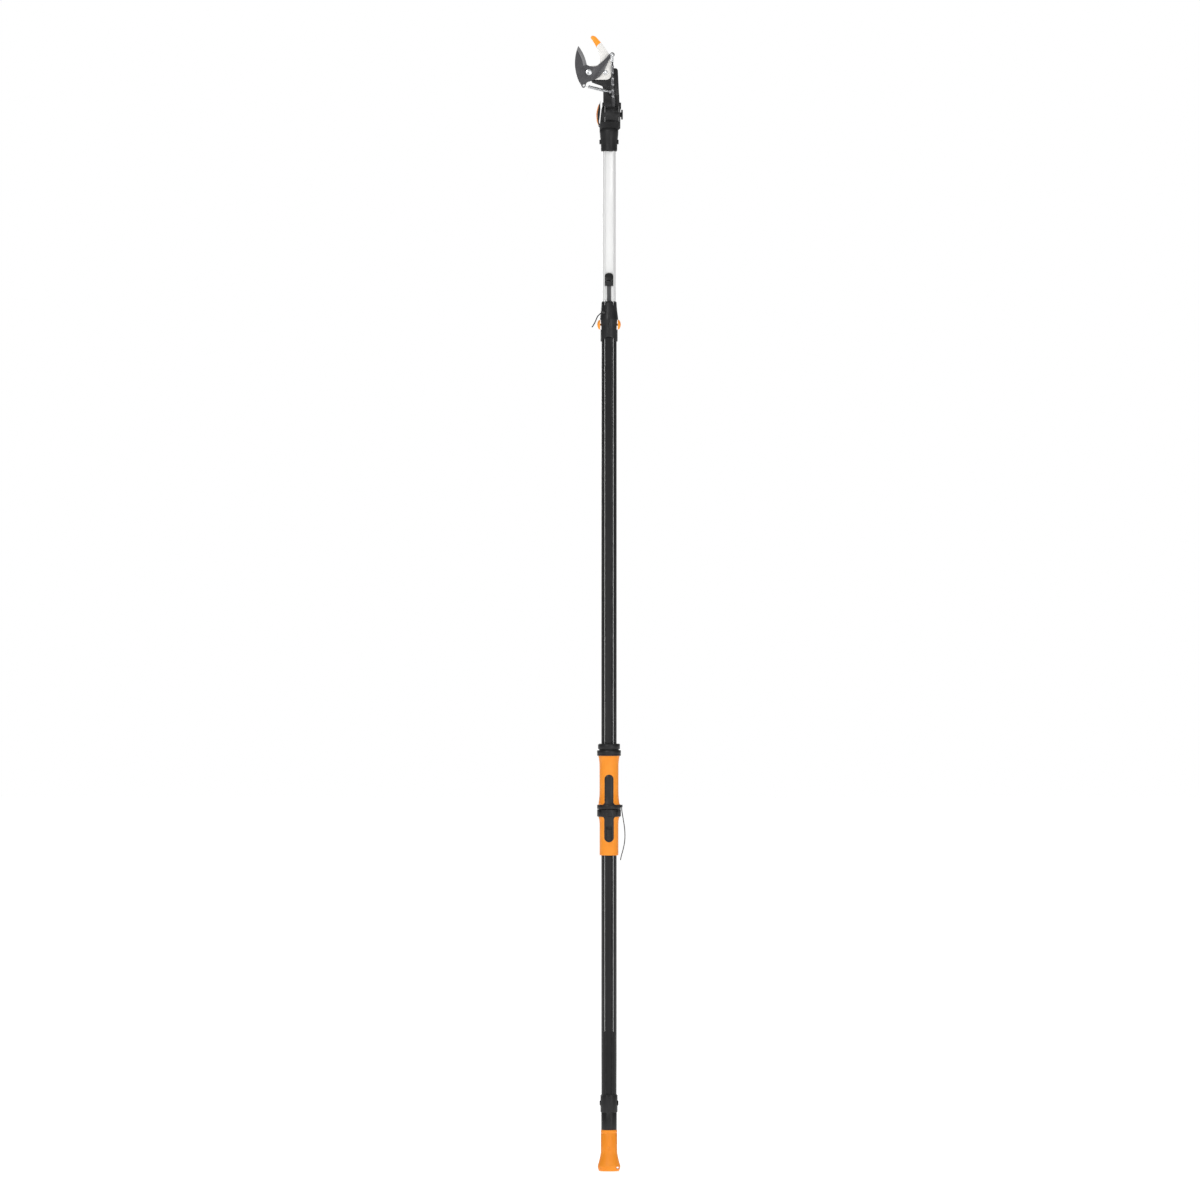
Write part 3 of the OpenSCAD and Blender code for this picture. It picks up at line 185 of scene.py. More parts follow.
def finish_of(name, low, high, rough, grain=900, marks=14, stretch=(1, 1, 1), depth=0.00005,
              strength=0.4, metallic=0.0, worn=None, worn_break=160):
    """A surface finish: grain in its bump, slow marks in its colour and gloss, and rubbed edges."""
    material = bpy.data.materials.new(name)
    material.use_nodes = True
    tree = material.node_tree
    shader = tree.nodes["Principled BSDF"]
    shader.inputs["Metallic"].default_value = metallic
    place = tree.nodes.new("ShaderNodeTexCoord")
    mapping = tree.nodes.new("ShaderNodeMapping")
    mapping.inputs["Scale"].default_value = stretch
    tree.links.new(place.outputs["Object"], mapping.inputs["Vector"])
    grained = tree.nodes.new("ShaderNodeGroup")
    grained.node_tree = moulded_grain
    tree.links.new(mapping.outputs["Vector"], grained.inputs["Vector"])
    grained.inputs["Grain"].default_value = grain
    grained.inputs["Marks"].default_value = marks
    tint = tree.nodes.new("ShaderNodeMix")
    tint.data_type = "RGBA"
    tint.inputs["A"].default_value = (*low, 1)
    tint.inputs["B"].default_value = (*high, 1)
    tree.links.new(grained.outputs["Mask"], tint.inputs["Factor"])
    colour = tint.outputs["Result"]
    if worn:
        edges = tree.nodes.new("ShaderNodeGroup")
        edges.node_tree = worn_edge
        tree.links.new(place.outputs["Object"], edges.inputs["Vector"])
        edges.inputs["Break"].default_value = worn_break
        rubbed = tree.nodes.new("ShaderNodeMix")
        rubbed.data_type = "RGBA"
        rubbed.inputs["B"].default_value = (*worn, 1)
        tree.links.new(colour, rubbed.inputs["A"])
        tree.links.new(edges.outputs["Mask"], rubbed.inputs["Factor"])
        colour = rubbed.outputs["Result"]
    tree.links.new(colour, shader.inputs["Base Color"])
    gloss = tree.nodes.new("ShaderNodeMapRange")
    gloss.inputs["To Min"].default_value = rough[0]
    gloss.inputs["To Max"].default_value = rough[1]
    tree.links.new(grained.outputs["Mask"], gloss.inputs["Value"])
    tree.links.new(gloss.outputs["Result"], shader.inputs["Roughness"])
    bump = tree.nodes.new("ShaderNodeBump")
    bump.name = "grain_bump"
    bump.inputs["Strength"].default_value = strength
    bump.inputs["Distance"].default_value = depth
    tree.links.new(grained.outputs["Height"], bump.inputs["Height"])
    tree.links.new(bump.outputs["Normal"], shader.inputs["Normal"])
    return material


def coat(material, weight, roughness, shine=0.5):
    """A thin clear layer over a finish, and how strongly the finish itself reflects."""
    shader = material.node_tree.nodes["Principled BSDF"]
    shader.inputs["Coat Weight"].default_value = weight
    shader.inputs["Coat Roughness"].default_value = roughness
    shader.inputs["Specular IOR Level"].default_value = shine
    return material


tie_nylon = coat(finish_of("black_tie_nylon", (0.012, 0.012, 0.013), (0.024, 0.024, 0.025), (0.34, 0.5),
                           grain=700, marks=60), 0.12, 0.3)


def tie_tail(name, route, lift, radius, body, node):
    """A tie's loose end along points in millimetres, raised by lift."""
    points = [Vector((x, y, z + lift)) / 1000 for x, y, z in route]
    line = bpy.data.curves.new(name, "CURVE")
    line.dimensions = "3D"
    line.bevel_depth = radius / 1000
    line.bevel_resolution = 4
    line.resolution_u = 6
    line.use_fill_caps = True
    spline = line.splines.new("BEZIER")
    spline.bezier_points.add(len(points) - 1)
    for knot, point in zip(spline.bezier_points, points):
        knot.co = point
        knot.handle_left_type = knot.handle_right_type = "AUTO"
    tail = bpy.data.objects.new(name, line)
    bpy.context.scene.collection.objects.link(tail)
    line.materials.append(tie_nylon)
    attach(tail, body)
    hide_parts(node)


tie_tail("collar_tie_end", [
    (-14, -16.6, 60.8), (-15.4, -16.8, 60.4), (-17, -16.9, 59.7), (-18.7, -16.9, 58.6),
    (-20.6, -16.8, 56.6), (-22.6, -16.3, 54.9), (-24.2, -15.9, 52.8), (-25.4, -15.5, 50.4),
    (-26.5, -15.2, 47.9), (-27.6, -14.9, 45.3), (-28.8, -14.6, 42.7), (-30.2, -14.4, 39.4),
    (-31.9, -14.2, 36.4), (-34, -14.1, 33), (-36.3, -14, 30),
], 1758, 1.2, "outer_pole", "collar_tie_tail")
handle_foot = 668.9
tie_tail("handle_tie_end", [
    (26.7, -4, 101.9), (27.2, -4, 96), (28, -4, 89.8), (29, -4, 83.6), (30, -4, 77.4),
    (31, -4, 71.2), (32, -4, 65), (32.8, -4, 58.8), (33.4, -4, 52.6), (33.7, -4, 46.4),
    (33.8, -4, 40.2), (33.5, -4, 34), (32.9, -4, 27.8), (31.9, -4, 21.7), (30.6, -4, 15.6),
    (29.1, -4, 9.6), (27.4, -4, 3.6), (25.8, -4, -2.4), (24.4, -4, -10.2),
], handle_foot, 1.0, "handle", "handle_tie_tail")

# ---------------------------------------------------------------------------
# Pull knob: an orange moulding with a flared foot and a hanging hole, held to
# an aluminium rod inside the pole by a screw with a head in the knob's orange.
# ---------------------------------------------------------------------------


def arc(a, m, b, steps):
    """Points on the circle through three points, from a by way of m to b."""
    a, m, b = Vector(a), Vector(m), Vector(b)
    d = 2 * (a.x * (m.y - b.y) + m.x * (b.y - a.y) + b.x * (a.y - m.y))
    square = [p.dot(p) for p in (a, m, b)]
    centre = Vector((
        (square[0] * (m.y - b.y) + square[1] * (b.y - a.y) + square[2] * (a.y - m.y)) / d,
        (square[0] * (b.x - m.x) + square[1] * (a.x - b.x) + square[2] * (m.x - a.x)) / d,
    ))
    start = math.atan2(a.y - centre.y, a.x - centre.x)
    end = math.atan2(b.y - centre.y, b.x - centre.x)
    left = (m - a).cross(b - m) > 0
    sweep = (end - start) % (2 * math.pi) if left else -((start - end) % (2 * math.pi))
    radius = (a - centre).length
    return [(centre.x + radius * math.cos(start + sweep * k / steps),
             centre.y + radius * math.sin(start + sweep * k / steps)) for k in range(steps + 1)]


def only(piece):
    """Leave this one object selected and active."""
    bpy.ops.object.select_all(action="DESELECT")
    piece.select_set(True)
    bpy.context.view_layer.objects.active = piece
    return piece


def turned(name, profile, hollow=True, sides=96):
    """A ring drawn up and sized along a profile of radius and height in millimetres, as on a lathe."""
    bpy.ops.object.select_all(action="DESELECT")
    radius, height = profile[0]
    bpy.ops.mesh.primitive_circle_add(vertices=sides, radius=radius / 1000, location=(0, 0, 0))
    piece = bpy.context.object
    piece.name = name
    bpy.ops.object.mode_set(mode="EDIT")
    bpy.ops.transform.translate(value=(0, 0, height / 1000))
    rings = list(profile[1:]) + ([profile[0]] if hollow else [])
    for next_radius, next_height in rings:
        bpy.ops.mesh.extrude_region_move(
            TRANSFORM_OT_translate={"value": (0, 0, (next_height - height) / 1000)})
        size = next_radius / radius
        bpy.ops.transform.resize(value=(size, size, 1), center_override=(0, 0, next_height / 1000))
        radius, height = next_radius, next_height
    bpy.ops.mesh.select_all(action="SELECT")
    bpy.ops.mesh.remove_doubles(threshold=0.000004)
    if not hollow:
        bpy.ops.mesh.fill_holes(sides=0)
        bpy.ops.mesh.select_all(action="SELECT")
    bpy.ops.mesh.normals_make_consistent(inside=False)
    bpy.ops.object.mode_set(mode="OBJECT")
    return piece


def bar(radius, start, end, sides=48):
    """A round bar between two points in millimetres, to cut with or to join."""
    start, end = Vector(start) / 1000, Vector(end) / 1000
    bpy.ops.object.select_all(action="DESELECT")
    bpy.ops.mesh.primitive_cylinder_add(
        vertices=sides, radius=radius / 1000, depth=(end - start).length, location=(start + end) / 2,
        rotation=(end - start).to_track_quat("Z", "Y").to_euler())
    bpy.ops.object.transform_apply(location=True, rotation=True, scale=True)
    return bpy.context.object


def block(low, high):
    """A block between two corners in millimetres, to cut with or to join."""
    low, high = Vector(low) / 1000, Vector(high) / 1000
    bpy.ops.object.select_all(action="DESELECT")
    bpy.ops.mesh.primitive_cube_add(size=1, location=(low + high) / 2)
    bpy.context.object.scale = high - low
    bpy.ops.object.transform_apply(location=True, rotation=True, scale=True)
    return bpy.context.object


def shape(piece, tool, how="DIFFERENCE"):
    """Cut the tool out of the piece, or join it on, and use the tool up."""
    only(piece)
    cut = piece.modifiers.new("shape", "BOOLEAN")
    cut.operation = how
    cut.solver = "EXACT"
    cut.object = tool
    bpy.ops.object.modifier_apply(modifier=cut.name)
    bpy.data.objects.remove(tool, do_unlink=True)
    return piece


def break_edges(piece, width, segments=2, angle=32):
    """Every sharp edge gets the small radius that a mould or a file leaves."""
    only(piece)
    if width:
        edge = piece.modifiers.new("edges", "BEVEL")
        edge.width = width / 1000
        edge.segments = segments
        edge.limit_method = "ANGLE"
        edge.angle_limit = math.radians(angle)
        edge.use_clamp_overlap = True
        edge.miter_outer = "MITER_ARC"
        bpy.ops.object.modifier_apply(modifier=edge.name)
    bpy.ops.object.shade_smooth_by_angle(angle=math.radians(38))
    return piece


def fit_piece(piece, material, body, slot, *stands_for):
    """Give a piece its finish, the body that it rides on and the nodes that it replaces."""
    piece.data.materials.clear()
    piece.data.materials.append(material)
    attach(piece, body)
    if stands_for:
        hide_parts(*stands_for)
    return piece


def dress(node, material):
    """A CAD node that keeps its own shape gets its finish."""
    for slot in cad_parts[node].material_slots:
        slot.material = material


orange_rubber = coat(finish_of("orange_grip_moulding", (0.88, 0.27, 0.014), (0.94, 0.32, 0.026),
                               (0.42, 0.56), grain=1300, marks=22, depth=0.00006, strength=0.55,
                               worn=(0.97, 0.5, 0.13), worn_break=120), 0.04, 0.4, 0.28)
knob_r, knob_top, rod_hole_r = 17.4, 87, 12.02
foot_round = arc((21.4, 0.4), (23, 3.6), (24, 9), 8)
flare = arc((24, 11), (20.6, 23), (17.7, 37), 16)
knob = turned("pull_knob", [(20.6, 0)] + foot_round + flare + [
    (knob_r + 0.02, 40), (knob_r, 44), (knob_r, 78.9), (17.15, 79.3), (16.9, 79.6), (16.9, 80.6),
    (17.15, 80.9), (knob_r, 81.3), (knob_r, 85.8), (17.2, 86.6), (16.5, knob_top),
    (rod_hole_r + 0.08, knob_top), (rod_hole_r, 86.4), (rod_hole_r, 14)], hollow=False)
hang_x, hang_z, screw_z = 18, 7, 50
shape(knob, bar(2.5, (hang_x, -40, hang_z), (hang_x, 40, hang_z)))
shape(knob, bar(1.82, (0, -40, screw_z), (0, 0, screw_z)))
shape(knob, bar(3.4, (0, -40, screw_z), (0, -15.8, screw_z)))
break_edges(knob, 0.25)
fit_piece(knob, orange_rubber, "knob", "orange_grip", "knob")


drawn_aluminium = finish_of("drawn_aluminium", (0.6, 0.61, 0.62), (0.72, 0.73, 0.74), (0.28, 0.42),
                            grain=26, marks=18, stretch=(40, 40, 1), depth=0.00003, strength=0.3,
                            metallic=1.0)
zinc_steel = finish_of("zinc_plated_steel", (0.42, 0.43, 0.45), (0.6, 0.61, 0.63), (0.24, 0.42),
                       grain=500, marks=70, metallic=1.0, worn=(0.8, 0.8, 0.8))
black_nylon = finish_of("moulded_black_nylon", (0.008, 0.008, 0.0085), (0.015, 0.015, 0.016), (0.34, 0.5),
                        grain=1400, marks=26, strength=0.5, worn=(0.075, 0.075, 0.078), worn_break=140)
coat(black_nylon, 0.04, 0.3, 0.3)
dress("guide_rod", drawn_aluminium)
dress("knob_screw", orange_rubber)
dress("rod_plug", black_nylon)

# ---------------------------------------------------------------------------
# Neck and end collar: a black sleeve over the rod, then a two-lobed nylon
# collar held to the bottom of the outer pole by a screw on each side.
# ---------------------------------------------------------------------------
neck_r, neck_foot, neck_top = 16.6, 87.02, 124.2
groove_half = 6.4
neck = turned("neck_sleeve", [
    (12.1, neck_foot), (16.3, neck_foot), (neck_r, 87.4),
    (neck_r, 123.6), (16.3, neck_top), (12.1, neck_top)])
shape(neck, block((-groove_half, -20, 80), (groove_half, -16, 130)))
break_edges(neck, 0.25)
fit_piece(neck, black_nylon, "knob", "black_plastic", "neck_tube")


def moulded_copy(name, node, width, segments=2):
    """The node's own shape as one clean moulding: corners merged, flat faces made whole, edges broken."""
    piece = bpy.data.objects.new(name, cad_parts[node].data.copy())
    bpy.context.scene.collection.objects.link(piece)
    only(piece)
    bpy.ops.mesh.customdata_custom_splitnormals_clear()
    bpy.ops.object.mode_set(mode="EDIT")
    bpy.ops.mesh.select_all(action="SELECT")
    bpy.ops.mesh.remove_doubles(threshold=0.000004)
    bpy.ops.mesh.dissolve_limited(angle_limit=math.radians(1))
    bpy.ops.object.mode_set(mode="OBJECT")
    return break_edges(piece, width, segments)


def fit_moulding(name, node, width, material, body, slot, segments=2):
    """The moulding made from a node, fitted in that node's place."""
    return fit_piece(moulded_copy(name, node, width, segments), material, body, slot, node)


fit_moulding("end_collar_moulding", "end_collar", 0.45, black_nylon, "outer_pole", "black_plastic")
dark_screw = finish_of("dark_screw_steel", (0.16, 0.16, 0.17), (0.28, 0.28, 0.29), (0.3, 0.46),
                       grain=500, marks=90, metallic=1.0, worn=(0.6, 0.6, 0.6))
dress("end_collar_screws", dark_screw)

# ---------------------------------------------------------------------------
# Outer pole: drawn aluminium tube, powder coated black, with a strap groove
# down its front and a fine line slot beside the groove's middle.
# ---------------------------------------------------------------------------
pole_powder = finish_of("black_powder_coat", (0.013, 0.013, 0.0135), (0.02, 0.02, 0.021), (0.32, 0.46),
                        grain=1700, marks=9, stretch=(1, 1, 0.3), depth=0.00007, strength=0.5,
                        worn=(0.09, 0.09, 0.092), worn_break=40)
coat(pole_powder, 0.04, 0.3, 0.14)
outer_low, outer_high, outer_r, outer_wall = 130, 1778, 16.2, 1.5
slot_left, slot_right = 4.2, 6.2
outer_pole = turned("outer_pole_tube", [
    (outer_r - outer_wall, outer_low), (outer_r, outer_low),
    (outer_r, outer_high), (outer_r - outer_wall, outer_high)], sides=144)
shape(outer_pole, block((-7.9, -16.1, outer_low), (7.9, -12.4, outer_high)), "UNION")
shape(outer_pole, block((-groove_half, -20, outer_low - 10), (groove_half, -14, outer_high + 12)))
shape(outer_pole, block((slot_left, -15, outer_low - 10), (slot_right, -13.3, outer_high + 12)))
shape(outer_pole, block((slot_left, -15, handle_foot), (slot_right, -11, handle_foot + 196)))
break_edges(outer_pole, 0.22)
fit_piece(outer_pole, pole_powder, "outer_pole", "black_pole", "outer_pole")

# ---------------------------------------------------------------------------
# Lock collar: a waisted nylon moulding pressed over the pole's top, with a
# spring-loaded orange button in each side and grey friction pads inside.
# ---------------------------------------------------------------------------
fit_moulding("lock_collar_moulding", "pole_collar", 0.4, black_nylon, "outer_pole", "black_plastic")
orange_gloss = coat(finish_of("orange_button_moulding", (0.93, 0.3, 0.018), (0.97, 0.36, 0.03), (0.28, 0.4),
                              depth=0.00003, marks=60, worn=(1.0, 0.52, 0.14)), 0.15, 0.2, 0.35)
for side in ("left", "right"):
    button = "button_" + side
    fit_moulding(side + "_release_button", button, 0.4, orange_gloss, button, "orange_plastic")
felt_grey = finish_of("grey_friction_pad", (0.2, 0.2, 0.205), (0.28, 0.28, 0.285), (0.7, 0.85),
                      grain=1900, marks=80)
dress("collar_pads", felt_grey)
dress("collar_springs", zinc_steel)
fit_moulding("collar_tie_head", "collar_tie", 0.3, tie_nylon, "outer_pole", "nylon_tie")

# ---------------------------------------------------------------------------
# Sliding handle: two orange grips on a black core, guard rings at the top and
# the middle, soft black inlays down the front and a ribbed lock button.
# ---------------------------------------------------------------------------
dress("slider_core", black_nylon)
for name, node in (("upper_grip", "grip_upper"), ("lower_grip", "grip_lower")):
    fit_moulding(name, node, 0.3, orange_rubber, "handle", "orange_grip")
soft_rubber = coat(finish_of("soft_black_rubber", (0.01, 0.01, 0.0105), (0.018, 0.018, 0.019), (0.4, 0.58),
                             grain=1600, marks=30, strength=0.6, worn=(0.07, 0.07, 0.072)), 0.12, 0.22, 0.3)
for name, node in (("upper_inlay", "inlay_upper"), ("lower_inlay", "inlay_lower")):
    fit_moulding(name, node, 0.5, soft_rubber, "handle", "soft_black")
core_r, guard_r, cap_r = 18.05, 25.3, 23.3
rings_foot = 879.8
guard_rings = turned("guard_rings", [(radius, rings_foot + up) for radius, up in (
    (core_r, 0), (24.1, 0), (24.8, 0.3), (guard_r, 1.2), (guard_r, 3.4), (24.9, 3.8), (24.9, 4.4),
    (guard_r, 4.8), (guard_r, 10.8), (24.9, 11.6), (24.2, 12), (21.4, 12.2), (21, 12.6), (21, 13.9),
    (21.3, 14.2), (22.4, 14.3), (23, 14.6), (cap_r, 15.3), (cap_r, 23.8), (22.9, 24.8), (22, 25.5),
    (21.8, 25.7), (core_r, 25.7))])
fit_piece(break_edges(guard_rings, 0.2), black_nylon, "handle", "black_plastic", "top_rings")
flange_low, flange_high = 767.2, 776.3
flange = turned("middle_guard", [
    (core_r, flange_low), (24.4, flange_low), (25, 767.5), (guard_r, 768.1),
    (guard_r, 775.4), (25, 776), (24.4, flange_high), (core_r, flange_high)])
fit_piece(break_edges(flange, 0), black_nylon, "handle", "black_plastic", "centre_flange")
fit_moulding("lock_ring_moulding", "lock_ring", 0.35, black_nylon, "lock_ring", "black_plastic")
fit_moulding("thumb_lock", "thumb_button", 0.3, soft_rubber, "thumb_button", "soft_black")
fit_moulding("handle_tie_head", "handle_tie", 0.3, tie_nylon, "handle", "nylon_tie")
dress("strap_clamp", zinc_steel)

# ---------------------------------------------------------------------------
# Inner pole: thin aluminium tube lacquered white, with a flat trough for the
# strap, a black foot inside and the strap's guide riding low on its front.
# ---------------------------------------------------------------------------
white_lacquer = coat(finish_of("white_pole_lacquer", (0.76, 0.76, 0.755), (0.82, 0.82, 0.815), (0.3, 0.42),
                               marks=7, stretch=(1, 1, 0.25), depth=0.00003, strength=0.3,
                               worn=(0.6, 0.6, 0.6), worn_break=30), 0.35, 0.15)
inner_low, inner_high, inner_r, bore_r = 295.8, 2203.0, 14.3, 13
trough_half, window_low, window_high = 8.2, 1879.6, 1897.6
inner_pole = turned("inner_pole_tube", [
    (bore_r, inner_low), (inner_r, inner_low), (inner_r, inner_high), (bore_r, inner_high)], sides=144)
shape(inner_pole, block((-9.4, -13.6, inner_low), (9.4, -8.6, inner_high)), "UNION")
shape(inner_pole, block((-trough_half, -20, inner_low - 5), (trough_half, -9.8, inner_high + 5)))
shape(inner_pole, block((-7.2, -11, window_low), (7.2, -7, window_high)))
break_edges(inner_pole, 0.2)
fit_piece(inner_pole, white_lacquer, "inner_pole", "white_pole", "inner_pole")
dress("pole_foot", black_nylon)
fit_moulding("strap_guide_moulding", "strap_guide", 0.4, black_nylon, "inner_pole", "black_plastic")
dress("guide_pin", zinc_steel)
dress("guide_roller", zinc_steel)

# ---------------------------------------------------------------------------
# Pull strap: flat woven polyester that runs up the trough, over a roller and
# round a pulley block inside the pole, which pulls the chain at twice the force.
# ---------------------------------------------------------------------------


def woven_webbing():
    """Flat webbing: ribs along the strap crossed by finer picks."""
    material = finish_of("woven_webbing", (0.05, 0.05, 0.052), (0.075, 0.075, 0.078), (0.72, 0.88),
                         grain=2600, marks=120)
    tree = material.node_tree
    place = tree.nodes["Texture Coordinate"]
    rows = []
    for axis, scale in (("X", 380), ("Z", 560)):
        wave = tree.nodes.new("ShaderNodeTexWave")
        wave.bands_direction = axis
        wave.inputs["Scale"].default_value = scale
        wave.inputs["Distortion"].default_value = 0.6
        tree.links.new(place.outputs["Object"], wave.inputs["Vector"])
        rows.append(wave.outputs["Fac"])
    weave = tree.nodes.new("ShaderNodeMath")
    weave.operation = "MULTIPLY"
    tree.links.new(rows[0], weave.inputs[0])
    tree.links.new(rows[1], weave.inputs[1])
    bump = tree.nodes["grain_bump"]
    bump.inputs["Distance"].default_value = 0.00025
    tree.links.new(weave.outputs["Value"], bump.inputs["Height"])
    return material


webbing = woven_webbing()
for node in ("strap", "loop_strap", "pull_strap"):
    dress(node, webbing)
for node in ("pulley_block", "pulley_pin"):
    dress(node, zinc_steel)
white_nylon = finish_of("white_nylon", (0.72, 0.72, 0.69), (0.8, 0.8, 0.77), (0.4, 0.55), marks=60)
dress("pulley_wheel", white_nylon)

# ---------------------------------------------------------------------------
# Adapter: two glass-filled nylon halves screwed over the pole's top, with two
# ears that carry the tilting hub on a pin, and a cap nut on the right.
# ---------------------------------------------------------------------------
glass_nylon = finish_of("glass_filled_nylon", (0.009, 0.009, 0.0095), (0.017, 0.017, 0.018), (0.38, 0.55),
                        grain=1100, marks=34, depth=0.00008, strength=0.6, worn=(0.1, 0.1, 0.104))
coat(glass_nylon, 0.04, 0.3, 0.24)
for name, node in (("adapter_front_half", "adapter_front"), ("adapter_rear_half", "adapter_rear")):
    fit_moulding(name, node, 0.35, glass_nylon, "inner_pole", "black_plastic")
dress("adapter_screws", dark_screw)
fit_moulding("tilt_pin_and_nut", "tilt_pins", 0.3, glass_nylon, "inner_pole", "black_plastic")

# ---------------------------------------------------------------------------
# Tilt lever: a black nylon lever on the adapter's left ear with an orange
# outer skin, hinged on a steel pin near its lower end. The skin's orange is
# painted darker than the other oranges, as painted shade on its left-facing side.
# ---------------------------------------------------------------------------
dress("lever_pin", zinc_steel)
fit_moulding("tilt_lever_arm", "tilt_lever", 0.5, glass_nylon, "tilt_lever", "black_plastic")
# The lever's orange, darker and duller than the knob's and the buttons': painted shade.
shade_darkened_orange = coat(finish_of("lever_orange_painted_shade", (0.66, 0.2, 0.03), (0.75, 0.25, 0.04), (0.34, 0.46),
                              marks=50, depth=0.00004, worn=(0.85, 0.42, 0.12)), 0.2, 0.3)
fit_moulding("tilt_lever_skin", "lever_cap", 0.5, shade_darkened_orange, "tilt_lever", "orange_plastic")

# ---------------------------------------------------------------------------
# Head housing: the nylon body that carries the hub, the hook and the blade's
# pivot, ribbed round the hub and hollowed for the chain.
# ---------------------------------------------------------------------------
fit_moulding("head_body", "head_housing", 0.35, glass_nylon, "head", "black_plastic")
dress("head_strap", webbing)

# ---------------------------------------------------------------------------
# Hook: a pressed aluminium plate painted off-white, bolted to the housing,
# with a bright orange cap moulded over its nose.
# ---------------------------------------------------------------------------
hook_paint = coat(finish_of("off_white_hook_paint", (0.76, 0.745, 0.715), (0.84, 0.825, 0.795), (0.36, 0.5),
                            grain=1200, marks=40, worn=(0.5, 0.5, 0.49), worn_break=220), 0.25, 0.25)
fit_moulding("hook_plate", "hook", 0.5, hook_paint, "head", "white_hook", segments=3)
tip_orange = coat(finish_of("orange_nose_cap", (0.95, 0.3, 0.008), (0.98, 0.36, 0.02), (0.3, 0.42),
                            marks=80, depth=0.00003), 0.1, 0.25, 0.3)
fit_moulding("hook_nose_cap", "hook_tip", 0.8, tip_orange, "head", "orange_plastic", segments=3)

# ---------------------------------------------------------------------------
# Bolts: bright flanged pivot bolt and hook bolt through the plates, with
# hexagon nuts behind, and a dark anchor post for the return spring.
# ---------------------------------------------------------------------------
bright_steel = finish_of("polished_bolt_steel", (0.62, 0.63, 0.64), (0.76, 0.77, 0.78), (0.14, 0.3),
                         grain=420, marks=110, metallic=1.0)
fit_moulding("plate_bolts", "head_bolts", 0.25, bright_steel, "head", "steel")
fit_moulding("plate_nuts", "head_nuts", 0.35, zinc_steel, "head", "steel")
fit_moulding("spring_post", "spring_anchor", 0.25, dark_screw, "head", "dark_steel")

# ---------------------------------------------------------------------------
# Blade: hardened steel plate with a dark low-friction coat, ground bright
# along its curved cutting edge, with a lever arm for the chain.
# ---------------------------------------------------------------------------
blade_coat = finish_of("dark_blade_coat", (0.034, 0.033, 0.037), (0.052, 0.051, 0.056), (0.28, 0.42),
                       grain=1500, marks=36, depth=0.00003, strength=0.3, worn=(0.2, 0.2, 0.2),
                       worn_break=90)
coat(blade_coat, 0.25, 0.25)
blade = fit_moulding("cutting_blade", "blade", 0.18, blade_coat, "blade", "coated_blade")
ground_steel = finish_of("ground_bevel_steel", (0.2, 0.198, 0.204), (0.25, 0.248, 0.254), (0.3, 0.4),
                         marks=26, depth=0.00002, strength=0.3, metallic=0.3,
                         worn=(0.5, 0.5, 0.5), worn_break=60)
blade.data.materials.append(ground_steel)
bevel_foot, bevel_right = 2.34, -0.036
for face in blade.data.polygons:
    slanted = -0.97 < face.normal.y < -0.25
    if slanted and face.center.z > bevel_foot and face.center.x < bevel_right:
        face.material_index = 1

# ---------------------------------------------------------------------------
# Pull chain: leaf chain of steel outer and blackened inner plates on steel
# rivets, from the blade's lever arm down into the hub. The outer plates are
# bright on the exposed first link and painted darker below it, as painted
# shade inside the housing.
# ---------------------------------------------------------------------------
# Darker steel for the outer plates inside the housing: painted shade, not a different metal.
housing_shade_plate_steel = finish_of("chain_plates_in_housing_shade", (0.1, 0.1, 0.104), (0.17, 0.17, 0.175), (0.3, 0.44),
                        grain=700, marks=160, metallic=0.9, worn=(0.7, 0.7, 0.7), worn_break=300)
black_plate = finish_of("blackened_chain_plate", (0.03, 0.03, 0.031), (0.05, 0.05, 0.052), (0.3, 0.45),
                        grain=700, marks=160, metallic=0.6, worn=(0.3, 0.3, 0.3), worn_break=400)
chain_plates = fit_moulding("chain_outer_plates_pressed", "chain_outer_plates", 0.12, housing_shade_plate_steel, "chain",
                            "steel")
chain_plates.data.materials.append(bright_steel)
# Outer plates above the first link's foot get bright steel; below it they keep the darker steel, painted
# shade where the housing hides them.
first_link_foot = 2.352
for face in chain_plates.data.polygons:
    if face.center.z > first_link_foot:
        face.material_index = 1
fit_moulding("chain_black_plates", "chain_inner_plates", 0.12, black_plate, "chain", "dark_steel")
dress("chain_rivets", bright_steel)
dress("chain_pin", bright_steel)

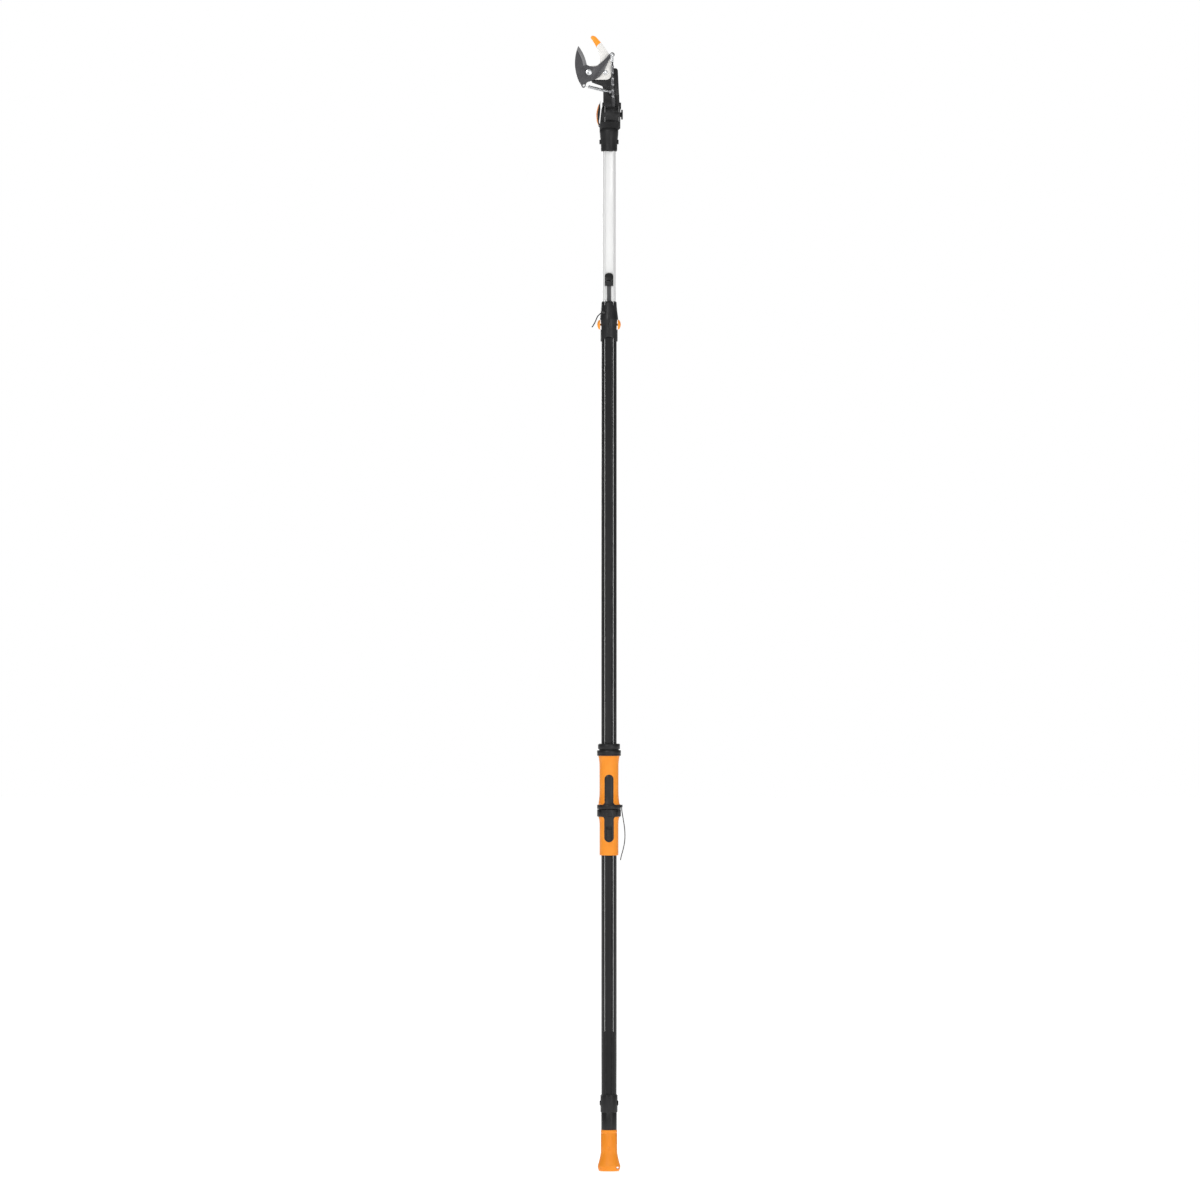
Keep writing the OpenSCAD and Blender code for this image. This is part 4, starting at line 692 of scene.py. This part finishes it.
# ---------------------------------------------------------------------------
# Return spring: close-wound steel wire from the anchor post to the blade's
# tail, its last turn bent into a hook through the hole there.
# ---------------------------------------------------------------------------
spring_wire = finish_of("spring_wire_steel", (0.5, 0.51, 0.52), (0.66, 0.67, 0.68), (0.22, 0.36),
                        grain=800, marks=200, metallic=1.0)
anchor = Vector((2.1, -5.2, 2287.0))
tail = Vector((-53.6, -5.2, 2300.4))
along = (tail - anchor).normalized()
coil_start, coil_end = anchor + along * 4.4, anchor + along * 47.9
wire, coil_r = 0.6, 2.85
coil_length = (coil_end - coil_start).length
turns = int(coil_length / (2 * wire + 0.04))
bpy.ops.object.select_all(action="DESELECT")
bpy.ops.mesh.primitive_circle_add(vertices=8, radius=wire / 1000, location=(0, 0, 0),
                                  rotation=(math.pi / 2, 0, 0))
coil = bpy.context.object
coil.name = "return_spring_coil"
bpy.ops.object.transform_apply(rotation=True)
bpy.ops.object.mode_set(mode="EDIT")
bpy.ops.transform.translate(value=(coil_r / 1000, 0, 0))
bpy.ops.object.mode_set(mode="OBJECT")
winding = coil.modifiers.new("winding", "SCREW")
winding.axis = "Z"
winding.screw_offset = coil_length / 1000 / turns
winding.iterations = turns
winding.steps = winding.render_steps = 18
winding.use_normal_calculate = True
bpy.ops.object.modifier_apply(modifier=winding.name)
bpy.ops.object.mode_set(mode="EDIT")
bpy.ops.mesh.select_all(action="SELECT")
bpy.ops.mesh.fill_holes(sides=0)
bpy.ops.mesh.select_all(action="SELECT")
bpy.ops.mesh.normals_make_consistent(inside=False)
bpy.ops.object.mode_set(mode="OBJECT")
coil.rotation_euler = along.to_track_quat("Z", "Y").to_euler()
coil.location = coil_start / 1000
bpy.ops.object.transform_apply(location=True, rotation=True)
break_edges(coil, 0)
coil.data.materials.append(spring_wire)
bpy.ops.object.select_all(action="DESELECT")
bpy.ops.mesh.primitive_torus_add(major_segments=40, minor_segments=12, major_radius=0.0025,
                                 minor_radius=0.00055, location=anchor / 1000, rotation=(math.pi / 2, 0, 0))
eye = bpy.context.object
eye.name = "return_spring_eye"
bpy.ops.object.transform_apply(location=True, rotation=True)
break_edges(eye, 0)
fit_piece(eye, spring_wire, "return_spring", "steel", "return_spring")
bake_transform(coil)
dress("spring_hook", spring_wire)
